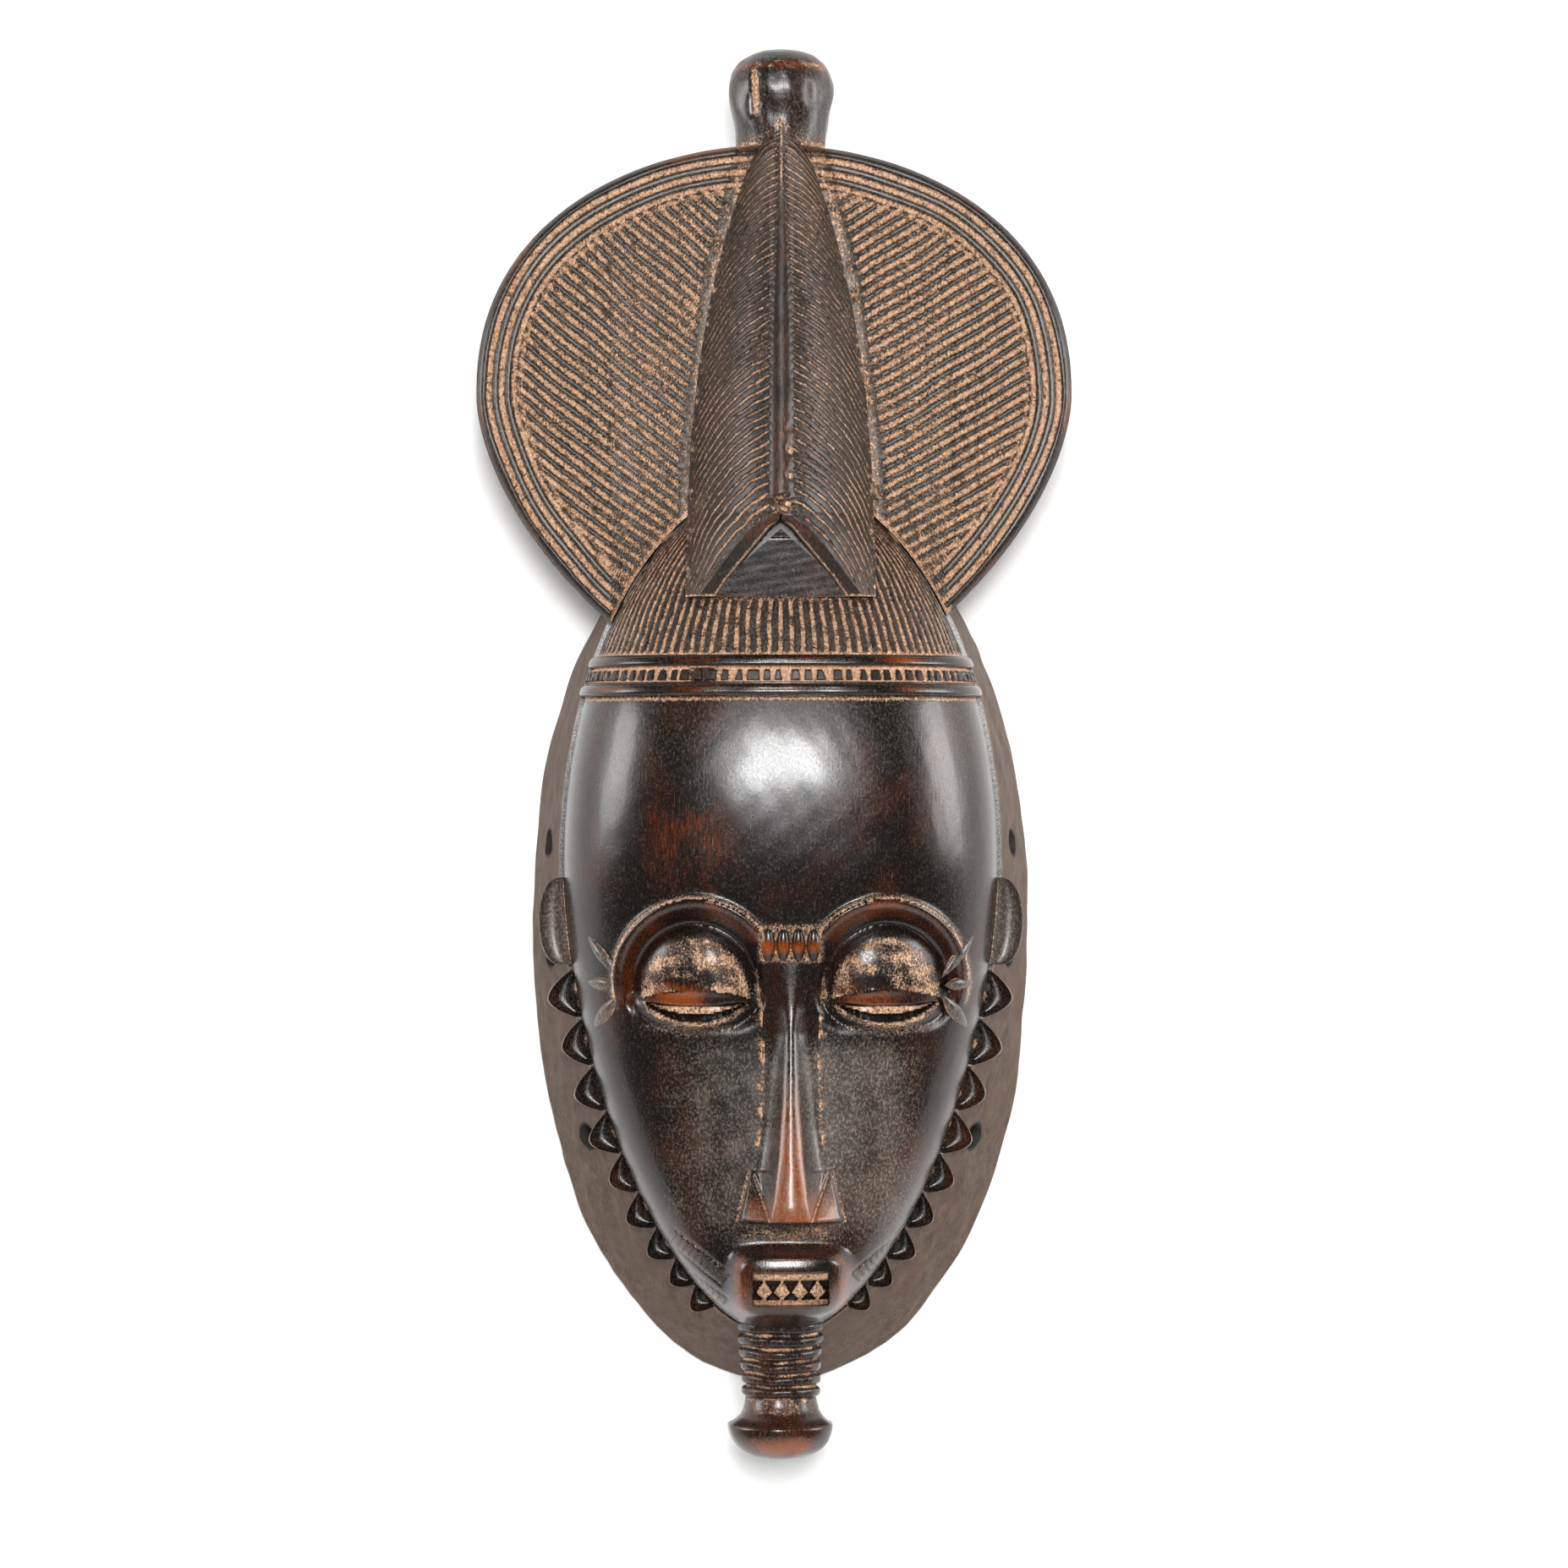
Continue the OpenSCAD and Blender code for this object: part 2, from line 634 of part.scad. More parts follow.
rim_wall();
tooth_collar();
face_shell();
ear(-1);  // left_ear
ear(1);  // right_ear
hair_cap();
lower_fillet();
notched_row();
upper_fillet();
hair_disc();
crest();
gable_panel();
top_knob();
brow_marks();
temple_marks(-1);  // left_temple_marks
temple_marks(1);  // right_temple_marks
beard_stem();
beard_tip();
rim_pegs();
disc_pegs();
crest_pegs();
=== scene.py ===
"""Carved wooden mask: a hollow head on a flared rim, with a hair disc, crest, knob and beard.

Inside the shape code lengths are millimetres: x to the viewer's right, depth forwards from the
back plane, z up. A mesh is written in metres, and depth becomes -y.
"""
import json
import logging
import math
from dataclasses import dataclass, field
from enum import Enum
from typing import Callable, Sequence

import bmesh
import bpy
import numpy as np
from mathutils import Matrix, Vector
from mathutils.kdtree import KDTree


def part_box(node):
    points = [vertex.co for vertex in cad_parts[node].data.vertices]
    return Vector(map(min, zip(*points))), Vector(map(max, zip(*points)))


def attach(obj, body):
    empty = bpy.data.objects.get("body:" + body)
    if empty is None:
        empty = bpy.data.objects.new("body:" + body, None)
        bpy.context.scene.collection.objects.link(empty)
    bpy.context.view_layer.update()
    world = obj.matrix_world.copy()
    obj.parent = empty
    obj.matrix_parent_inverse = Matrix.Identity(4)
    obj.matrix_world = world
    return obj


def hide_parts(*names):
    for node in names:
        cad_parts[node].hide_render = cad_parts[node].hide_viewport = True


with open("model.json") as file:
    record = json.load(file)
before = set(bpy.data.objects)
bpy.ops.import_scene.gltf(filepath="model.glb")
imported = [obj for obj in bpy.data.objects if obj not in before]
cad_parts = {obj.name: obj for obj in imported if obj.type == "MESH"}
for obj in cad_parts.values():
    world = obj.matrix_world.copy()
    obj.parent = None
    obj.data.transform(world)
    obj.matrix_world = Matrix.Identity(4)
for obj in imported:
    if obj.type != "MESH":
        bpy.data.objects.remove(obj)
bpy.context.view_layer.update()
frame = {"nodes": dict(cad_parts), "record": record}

Array = np.ndarray
Colour = tuple[float, float, float]
Stations = Sequence[tuple[float, float]]

MM = 0.001
MERGE = 1e-6
FIRST, LAST = 1e-4, 0.9999  # shares below and above these are a grid's two ends
BETWEEN = -0.5  # lies between a shell's back layer, -1, and its front layer, 0
APART = 10.0  # spacing of a row of balls before each is put in its place
LOG = logging.getLogger("mask")


def smooth(share: Array) -> Array:
    """A soft step from 0 to 1 as share goes from 0 to 1."""
    held = np.clip(share, 0.0, 1.0)
    return held * held * (3.0 - 2.0 * held)


def ramp(value: Array, start: float, end: float) -> Array:
    """A soft step from 0 at start to 1 at end."""
    return smooth((value - start) / (end - start))


def bump(value: Array, width: Array, power: float = 2.0) -> Array:
    """1 at zero, and falling to nothing beyond width."""
    return np.exp(-np.abs(value / width) ** power)


def lerp(low: Array, high: Array, share: Array) -> Array:
    """The value at a share of the way from low to high."""
    return low + (high - low) * share


def ripple(x: Array, y: Array, z: Array, length: float, seed: int) -> Array:
    """The gentle unevenness of hand work, between about -1 and 1.

    Args:
        x, y, z: Places in millimetres.
        length: Rough distance between two swells.
        seed: Which unevenness, the same on every run.

    Returns:
        One value for each place.
    """
    draw = np.random.default_rng(seed)
    total = np.zeros(np.broadcast(x, y, z).shape)
    for _ in range(7):
        way = draw.normal(size=3)
        way *= 2.0 * math.pi / length * draw.uniform(0.6, 1.5) / np.linalg.norm(way)
        total = total + np.sin(way[0] * x + way[1] * y + way[2] * z + draw.uniform(0.0, 6.28))
    return total / 3.0


def swell(x: Array, z: Array, length: float, seed: int) -> Array:
    """Unevenness that runs straight through from front to back."""
    return ripple(x, 0 * x, z, length, seed)


def halves(a: Array, b: Array) -> tuple[Array, Array]:
    """Shares from 0 to 1 across and up, from a grid that runs from -1 to 1."""
    return (a + 1) / 2, (b + 1) / 2


def sided(side: int, name: str) -> str:
    """A node's name on one side, -1 for left and 1 for right."""
    return ("left_" if side < 0 else "right_") + name


def groove(phase: Array, share: float) -> Array:
    """How deep a cut is across a row of equal cuts, from 0 on the ridges to 1 in the cuts."""
    off = np.abs(phase - np.round(phase)) / (0.5 * share)
    return smooth(1.35 * (1.0 - off) + 0.15)


@dataclass(frozen=True)
class Box:
    """A CAD node's box in millimetres, with depth counted forwards."""

    left: float
    right: float
    back: float
    front: float
    low: float
    high: float

    @classmethod
    def of(cls, node: str) -> "Box":
        """Reads a node's box from the frame."""
        lo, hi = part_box(node)
        return cls(lo.x / MM, hi.x / MM, -hi.y / MM, -lo.y / MM, lo.z / MM, hi.z / MM)

    @property
    def middle(self) -> float:
        """The middle from left to right."""
        return (self.left + self.right) / 2.0

    @property
    def half(self) -> float:
        """Half the width."""
        return (self.right - self.left) / 2.0


@dataclass
class Skin:
    """Where each vertex lies, and its share of clay, rubbing and dust; on the rim the rubbing share paints
    shade, and towards the face's right cheek the dust share also paints a sheen.
    """

    x: Array
    depth: Array
    z: Array
    clay: Array
    wear: Array
    dust: Array

    @classmethod
    def plain(cls, x: Array, depth: Array, z: Array) -> "Skin":
        """A skin with no clay, rubbing or dust yet.

        Args:
            x, depth, z: The vertices' places.

        Returns:
            The new skin.
        """
        shape = np.broadcast(x, depth, z).shape
        held = [np.broadcast_to(a, shape).astype(float) for a in (x, depth, z)]
        return cls(*held, np.zeros(shape), np.zeros(shape), np.zeros(shape))

    def where(self, test: Array, other: "Skin") -> "Skin":
        """This skin where test holds, and the other one elsewhere."""
        pairs = zip(vars(self).values(), vars(other).values())
        return Skin(*[np.where(test, a, b) for a, b in pairs])


class Mesh:
    """One closed solid in the making."""

    def __init__(self) -> None:
        """Starts with nothing."""
        self.bm = bmesh.new()

    def sheet(self, cols: int, rows: int, level: float = 0.0) -> None:
        """Adds a flat grid from -1 to 1 at a level, which tells its layer apart."""
        bmesh.ops.create_grid(self.bm, x_segments=cols, y_segments=rows, size=1.0,
                              matrix=Matrix.Translation((0.0, 0.0, level)))

    def shell(self, cols: int, rows: int, share: int) -> None:
        """Adds a front grid at level 0 and a coarser back grid at level -1, joined round.

        Args:
            cols, rows: Faces of the front grid across and up.
            share: How much coarser the back grid is.
        """
        self.sheet(cols, rows)
        self.sheet(cols // share, rows // share, -1.0)
        rim = [e for e in self.bm.edges if e.is_boundary]
        bmesh.ops.bridge_loops(self.bm, edges=rim)

    def balls(self, count: int, around: int, up: int) -> None:
        """Adds a row of unit balls along x.

        Args:
            count: How many balls.
            around, up: Faces round each ball and from pole to pole.
        """
        for i in range(count):
            bmesh.ops.create_uvsphere(self.bm, u_segments=around, v_segments=up, radius=1.0,
                                      matrix=Matrix.Translation((APART * i, 0.0, 0.0)))

    def spin(self, profile: Sequence[tuple[float, float]], steps: int) -> None:
        """Turns a profile of (radius, height) pairs round the z axis.

        Args:
            profile: The pairs, from one end to the other.
            steps: Faces round the axis.
        """
        verts = [self.bm.verts.new((r, 0.0, h)) for r, h in profile]
        edges = [self.bm.edges.new(pair) for pair in zip(verts, verts[1:])]
        bmesh.ops.spin(self.bm, geom=verts + edges, cent=(0, 0, 0), axis=(0, 0, 1),
                       angle=2.0 * math.pi, steps=steps, use_merge=True)
        bmesh.ops.remove_doubles(self.bm, verts=self.bm.verts, dist=1e-5)

    def places(self) -> tuple[Array, Array, Array]:
        """The three coordinates of every vertex."""
        held = np.array([v.co for v in self.bm.verts], float).reshape(-1, 3)
        return held[:, 0], held[:, 1], held[:, 2]

    def lay(self, shape: Callable[[Array, Array, Array], Skin]) -> "Mesh":
        """Moves every vertex to where shape puts it and keeps its dressing.

        Args:
            shape: Takes the three coordinates and gives a skin.

        Returns:
            This mesh.
        """
        skin = shape(*self.places())
        layers = [self.bm.verts.layers.float.new(n) for n in ("clay", "wear", "dust")]
        rows = np.stack([skin.x * MM, -skin.depth * MM, skin.z * MM], axis=1).tolist()
        shares = np.clip(np.stack([skin.clay, skin.wear, skin.dust], axis=1), 0, 1).tolist()
        for vert, place, share in zip(self.bm.verts, rows, shares):
            vert.co = place
            for layer, value in zip(layers, share):
                vert[layer] = value
        return self

    def write(self, name: str, crease: float = 38.0) -> bpy.types.Object:
        """Closes the solid, turns its faces outwards and makes it an object.

        Args:
            name: The piece's name.
            crease: Edges sharper than this many degrees stay crisp.

        Returns:
            The new object, at the origin.
        """
        bmesh.ops.remove_doubles(self.bm, verts=self.bm.verts, dist=MERGE)
        bmesh.ops.dissolve_degenerate(self.bm, edges=self.bm.edges, dist=MERGE / 10)
        bmesh.ops.recalc_face_normals(self.bm, faces=self.bm.faces)
        mesh = bpy.data.meshes.new(name)
        self.bm.to_mesh(mesh)
        self.bm.free()
        mesh.shade_smooth()
        mesh.set_sharp_from_angle(angle=math.radians(crease))
        obj = bpy.data.objects.new(name, mesh)
        bpy.context.scene.collection.objects.link(obj)
        return obj


class Slot(Enum):
    """The record's material slots."""

    RIM = "rim_wood"
    DARK = "dark_wood"
    FACE = "face_wood"
    HAIR = "hair_wood"
    CREST = "crest_wood"
    MARK = "mark_wood"
    PEG = "peg_wood"


class Shader:
    """Builds the node tree of one finish."""

    def __init__(self, name: str) -> None:
        """Starts a material with a principled shader.

        Args:
            name: The material's name.
        """
        self.material = bpy.data.materials.new(name)
        self.material.use_nodes = True
        self.tree = self.material.node_tree
        self.surface = self.tree.nodes["Principled BSDF"]
        self.object_place = self.node("ShaderNodeTexCoord").outputs["Object"]

    def node(self, kind: str, **settings: object) -> bpy.types.Node:
        """Adds a node and sets its properties.

        Args:
            kind: The node's type.
            settings: Its properties and their values.

        Returns:
            The new node.
        """
        made = self.tree.nodes.new(kind)
        for key, value in settings.items():
            setattr(made, key, value)
        return made

    def feed(self, socket: bpy.types.NodeSocket, value: object) -> None:
        """Links an output to a socket, or sets a plain value on it.

        Args:
            socket: The input.
            value: An output, or a plain value.
        """
        if isinstance(value, bpy.types.NodeSocket):
            self.tree.links.new(value, socket)
        else:
            socket.default_value = value

    def noise(self, size: tuple[float, float, float], detail: float = 3.0,
              rough: float = 0.55) -> bpy.types.NodeSocket:
        """Cloudy noise whose blots have the given size in millimetres along x, y and z.

        Args:
            size: The blots' size along x, y and z.
            detail: How many finer layers it has.
            rough: How strong the finer layers are.

        Returns:
            The noise, between 0 and 1.
        """
        turned = self.node("ShaderNodeMapping")
        self.feed(turned.inputs["Vector"], self.object_place)
        turned.inputs["Scale"].default_value = [1.0 / (s * MM) for s in size]
        made = self.node("ShaderNodeTexNoise")
        self.feed(made.inputs["Vector"], turned.outputs["Vector"])
        made.inputs["Scale"].default_value = 1.0
        made.inputs["Detail"].default_value = detail
        made.inputs["Roughness"].default_value = rough
        return made.outputs["Fac"]

    def step(self, value: object, low: float, high: float) -> bpy.types.NodeSocket:
        """A soft step from 0 at low to 1 at high.

        Args:
            value: An output, or a number.
            low, high: Where the step starts and ends.

        Returns:
            The step's output.
        """
        made = self.node("ShaderNodeMapRange", interpolation_type="SMOOTHSTEP")
        self.feed(made.inputs["Value"], value)
        made.inputs["From Min"].default_value = low
        made.inputs["From Max"].default_value = high
        return made.outputs["Result"]

    def calc(self, operation: str, first: object, second: object) -> bpy.types.NodeSocket:
        """One sum on two values.

        Args:
            operation: The sum's name.
            first, second: Outputs, or numbers.

        Returns:
            The result's output.
        """
        made = self.node("ShaderNodeMath", operation=operation)
        self.feed(made.inputs[0], first)
        self.feed(made.inputs[1], second)
        return made.outputs["Value"]

    def spread(self, noise: object, gain: float) -> bpy.types.NodeSocket:
        """Noise about its middle, as a change of up to half of gain either way."""
        return self.calc("MULTIPLY", self.calc("SUBTRACT", noise, 0.5), gain)

    def tint(self, share: object, low: object, high: object) -> bpy.types.NodeSocket:
        """A colour a share of the way from low to high.

        Args:
            share: An output, or a number, from 0 to 1.
            low, high: Colours, or outputs that give one.

        Returns:
            The mixed colour's output.
        """
        made = self.node("ShaderNodeMix", data_type="RGBA")
        colours = [s for s in made.inputs if s.type == "RGBA"]
        self.feed(made.inputs["Factor"], share)
        for socket, value in zip(colours, (low, high)):
            self.feed(socket, (*value, 1.0) if isinstance(value, tuple) else value)
        return [s for s in made.outputs if s.type == "RGBA"][0]

    def share(self, name: str) -> bpy.types.NodeSocket:
        """One of the mesh's own shares."""
        return self.node("ShaderNodeAttribute", attribute_name=name).outputs["Fac"]

    def relief(self, height: object, distance: float, strength: float = 1.0) -> None:
        """Adds fine relief of a height in millimetres over whatever is there already.

        Args:
            height: The output that gives the height.
            distance: Its full height in millimetres.
            strength: How much of it shows.
        """
        made = self.node("ShaderNodeBump")
        made.inputs["Distance"].default_value = distance * MM
        made.inputs["Strength"].default_value = strength
        self.feed(made.inputs["Height"], height)
        old = self.surface.inputs["Normal"].links
        if old:
            self.tree.links.new(old[0].from_socket, made.inputs["Normal"])
        self.tree.links.new(made.outputs["Normal"], self.surface.inputs["Normal"])


@dataclass(frozen=True)
class StainedWood:
    """Dark stained wood, rubbed through to red-brown, with pale clay left in the cuts."""

    name: str
    stain: Colour = (0.0075, 0.0045, 0.0034)
    stain_warm: Colour = (0.026, 0.0075, 0.0036)
    rubbed: Colour = (0.245, 0.055, 0.005)
    clay: Colour = (0.40, 0.225, 0.130)
    clay_pale: Colour = (0.72, 0.49, 0.34)
    dust: Colour = (0.20, 0.165, 0.135)
    gloss: float = 0.20
    gloss_dull: float = 0.40
    coat: float = 0.2
    speckle: float = 0.42
    fibre: float = 0.05

    def material(self) -> bpy.types.Material:
        """Builds the finish.

        Returns:
            The new material.
        """
        s = Shader(self.name)
        fibres = s.noise((0.35, 0.35, 7.0), detail=4.0)
        patches = s.noise((16.0, 16.0, 26.0), detail=3.0)
        grit = s.noise((0.55, 0.55, 0.55), detail=3.0, rough=0.7)
        specks = s.noise((0.65, 0.65, 0.9), detail=4.0, rough=0.75)
        scratch = s.noise((0.22, 0.5, 9.0), detail=1.0)

        warm = s.step(s.calc("ADD", patches, s.calc("MULTIPLY", fibres, 0.25)), 0.58, 0.78)
        base = s.tint(warm, self.stain, self.stain_warm)
        wear = s.calc("ADD", s.share("wear"), s.spread(patches, 0.9))
        wear = s.calc("ADD", wear, s.spread(fibres, 1.1))
        worn = s.step(wear, 0.30, 1.05)
        base = s.tint(worn, base, self.rubbed)

        # Dust specks and a smooth dust film follow the dust share; where that share is raised towards the
        # face's right cheek they also paint a sheen.
        lying = s.calc("ADD", s.share("dust"), self.speckle * 0.12)
        dusty = s.calc("MULTIPLY", s.step(specks, 0.44, 0.66), lying)
        base = s.tint(dusty, base, self.dust)
        film = s.calc("MULTIPLY", s.step(s.share("dust"), 0.30, 1.20), 0.26)
        base = s.tint(film, base, self.dust)
        marks = s.calc("MULTIPLY", s.step(scratch, 0.71, 0.78), self.speckle)
        base = s.tint(marks, base, self.dust)

        crumbs = s.calc("ADD", s.calc("MULTIPLY", grit, 0.6), s.calc("MULTIPLY", specks, 0.4))
        crumbs = s.spread(crumbs, 1.7)
        left = s.step(s.calc("ADD", s.share("clay"), crumbs), 0.34, 0.62)
        tone = s.tint(s.step(specks, 0.40, 0.66), self.clay, self.clay_pale)
        colour = s.tint(left, base, tone)
        s.feed(s.surface.inputs["Base Color"], colour)

        dull = s.calc("MULTIPLY", s.step(specks, 0.50, 0.72), self.gloss_dull - self.gloss)
        rough = s.calc("ADD", dull, self.gloss)
        rough = s.calc("ADD", rough, s.calc("MULTIPLY", left, 0.45))
        rough = s.calc("ADD", rough, s.calc("MULTIPLY", s.share("dust"), 0.12))
        s.feed(s.surface.inputs["Roughness"], rough)
        s.surface.inputs["Coat Weight"].default_value = self.coat
        s.surface.inputs["Coat Roughness"].default_value = 0.14
        s.surface.inputs["Specular IOR Level"].default_value = 0.5
        s.relief(fibres, self.fibre)
        s.relief(s.calc("MULTIPLY", grit, left), 0.35)
        s.relief(specks, 0.06)
        return s.material


@dataclass(frozen=True)
class BareWood:
    """Wood without polish, mottled and scuffed, and painted near black as shade where its wear share is set.
    """

    name: str
    pale: Colour = (0.132, 0.089, 0.062)
    deep: Colour = (0.050, 0.032, 0.023)
    warm: Colour = (0.098, 0.056, 0.036)
    scuffed: Colour = (0.24, 0.195, 0.155)
    clay: Colour = (0.36, 0.20, 0.11)
    # Near black, painted where the rim is in shade.
    shade_colour: Colour = (0.018, 0.012, 0.009)
    gloss: float = 0.62
    marks: float = 0.6

    def material(self) -> bpy.types.Material:
        """Builds the finish.

        Returns:
            The new material.
        """
        s = Shader(self.name)
        fibres = s.noise((0.5, 0.5, 9.0), detail=5.0)
        patches = s.noise((11.0, 11.0, 20.0), detail=4.0, rough=0.6)
        blots = s.noise((3.5, 3.5, 6.0), detail=4.0, rough=0.65)
        grit = s.noise((0.6, 0.6, 0.8), detail=4.0, rough=0.75)
        cross = s.noise((5.0, 5.0, 0.35), detail=2.0)

        base = s.tint(s.step(s.calc("ADD", s.calc("MULTIPLY", fibres, 0.5), s.calc("MULTIPLY", blots, 0.6)),
                             0.36, 0.72), self.deep, self.pale)
        base = s.tint(s.calc("MULTIPLY", s.step(patches, 0.46, 0.70), 0.75), base, self.warm)
        base = s.tint(s.calc("MULTIPLY", s.step(grit, 0.60, 0.74), 0.35), base, self.pale)
        scuffs = s.calc("MULTIPLY", s.step(cross, 0.66, 0.75), 0.35 * self.marks)
        base = s.tint(scuffs, base, self.scuffed)
        left = s.step(s.calc("ADD", s.share("clay"), s.spread(grit, 1.0)), 0.4, 0.7)
        base = s.tint(left, base, self.clay)
        # Painted shade: the wear share, broken up by blots, mixes in the near-black shade colour.
        dark = s.step(s.calc("ADD", s.share("wear"), s.spread(blots, 0.6)), 0.3, 0.8)
        base = s.tint(dark, base, self.shade_colour)
        s.feed(s.surface.inputs["Base Color"], base)
        rough = s.calc("ADD", s.calc("MULTIPLY", blots, 0.30), self.gloss - 0.15)
        s.feed(s.surface.inputs["Roughness"], rough)
        s.surface.inputs["Specular IOR Level"].default_value = 0.42
        s.relief(fibres, 0.10)
        s.relief(cross, 0.12, 0.7)
        s.relief(grit, 0.10)
        return s.material


FINISHES = {
    Slot.FACE: StainedWood("face_wood"),
    Slot.DARK: StainedWood("dark_wood", gloss=0.24, gloss_dull=0.46, coat=0.12, speckle=0.4),
    Slot.HAIR: StainedWood("hair_wood", stain=(0.016, 0.010, 0.0075), stain_warm=(0.036, 0.018, 0.011),
                           gloss=0.28, gloss_dull=0.50, coat=0.05, speckle=0.8, fibre=0.08),
    Slot.CREST: StainedWood("crest_wood", stain=(0.018, 0.012, 0.009), stain_warm=(0.034, 0.018, 0.011),
                            clay=(0.33, 0.195, 0.118), gloss=0.32, gloss_dull=0.50, coat=0.03, speckle=0.6,
                            fibre=0.08),
    Slot.MARK: StainedWood("mark_wood", stain_warm=(0.060, 0.016, 0.006)),
    Slot.RIM: BareWood("rim_wood"),
    Slot.PEG: BareWood("peg_wood", pale=(0.46, 0.30, 0.17), deep=(0.26, 0.15, 0.08), warm=(0.36, 0.20, 0.10)),
}
MATERIALS: dict[Slot, bpy.types.Material] = {}


def material_of(slot: Slot) -> bpy.types.Material:
    """The material of a slot, built once.

    Args:
        slot: One of the record's slots.

    Returns:
        The slot's material.
    """
    if slot not in MATERIALS:
        MATERIALS[slot] = FINISHES[slot].material()
    return MATERIALS[slot]


def keep(obj: bpy.types.Object, slot: Slot, *nodes: str) -> bpy.types.Object:
    """Finishes a piece and lets it stand for its CAD nodes.

    Args:
        obj: The piece, in place.
        slot: Its material slot.
        nodes: The CAD nodes that it replaces.

    Returns:
        The same piece.
    """
    obj.data.materials.append(material_of(slot))
    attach(obj, "root")
    if nodes:
        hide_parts(*nodes)
    LOG.info("%s: %d faces", obj.name, len(obj.data.polygons))
    return obj


def curve(stations: Stations, z: Array) -> Array:
    """A smooth curve through (level, value) stations.

    Args:
        stations: The pairs, from the lowest level up.
        z: Levels to read the curve at.

    Returns:
        The curve's value at each level.
    """
    level, value = np.array(stations).T
    i = np.clip(np.searchsorted(level, z, side="right") - 1, 1, len(level) - 3)
    span = level[i + 1] - level[i]
    t = np.clip((z - level[i]) / span, 0.0, 1.0)
    m1 = (value[i + 1] - value[i - 1]) / (level[i + 1] - level[i - 1]) * span
    m2 = (value[i + 2] - value[i]) / (level[i + 2] - level[i]) * span
    rise = value[i + 1] - value[i]
    return value[i] + t * (m1 + t * (3 * rise - 2 * m1 - m2 + t * (m1 + m2 - 2 * rise)))


def carve(shape: Callable[[Array, Array, Array], Skin], grid: tuple[int, int, int], name: str, crease: float,
          slot: Slot, node: str) -> None:
    """Makes a piece with a carved front and a coarser back, and keeps it.

    Args:
        shape: Places both layers, as in Mesh.lay.
        grid: Columns and rows of the front, and how much coarser the back is.
        name: The piece's name.
        crease: Edges sharper than this many degrees stay crisp.
        slot: Its material slot.
        node: The CAD node that it replaces.
    """
    mesh = Mesh()
    mesh.shell(*grid)
    keep(mesh.lay(shape).write(name, crease), slot, node)


@dataclass(frozen=True)
class Oval:
    """A hand-shaped oval, fuller above or below as its powers say."""

    half: float
    wide: float
    top: float
    bottom: float
    up: tuple[float, float]
    down: tuple[float, float]
    shift: float = 0.0

    def width(self, z: Array, grow: float = 0.0) -> Array:
        """Half the width at a level, with the oval grown all round.

        Args:
            z: Level.
            grow: How much the oval is grown all round.

        Returns:
            Half the width at each level.
        """
        above = (z - self.wide) / (self.top + grow - self.wide)
        below = (self.wide - z) / (self.wide - self.bottom + grow)
        t = np.clip(np.where(z > self.wide, above, below), 0.0, 1.0)
        full = np.where(z > self.wide, self.up[0], self.down[0])
        edge = np.where(z > self.wide, self.up[1], self.down[1])
        return (self.half + grow) * np.maximum(0.0, 1.0 - t ** full) ** edge

    def point(self, angle: Array, grow: float = 0.0) -> tuple[Array, Array]:
        """The outline's point at an angle in degrees, from the top towards the right.

        Args:
            angle: Angle in degrees.
            grow: How much the oval is grown all round.

        Returns:
            x and z of the point.
        """
        c, s = np.cos(np.radians(angle)), np.sin(np.radians(angle))
        reach = np.where(c > 0, self.top + grow - self.wide, self.wide - self.bottom + grow)
        z = self.wide + c * reach
        return self.shift + np.sign(s) * self.width(z, grow), z

    def outward(self, angle: Array, grow: float = 0.0) -> tuple[Array, Array]:
        """The outline's outward direction at an angle.

        Args:
            angle: Angle in degrees.
            grow: How much the oval is grown all round.

        Returns:
            x and z of a direction of length 1.
        """
        x0, z0 = self.point(angle - 0.4, grow)
        x1, z1 = self.point(angle + 0.4, grow)
        length = np.maximum(np.hypot(x1 - x0, z1 - z0), 1e-9)
        return -(z1 - z0) / length, (x1 - x0) / length


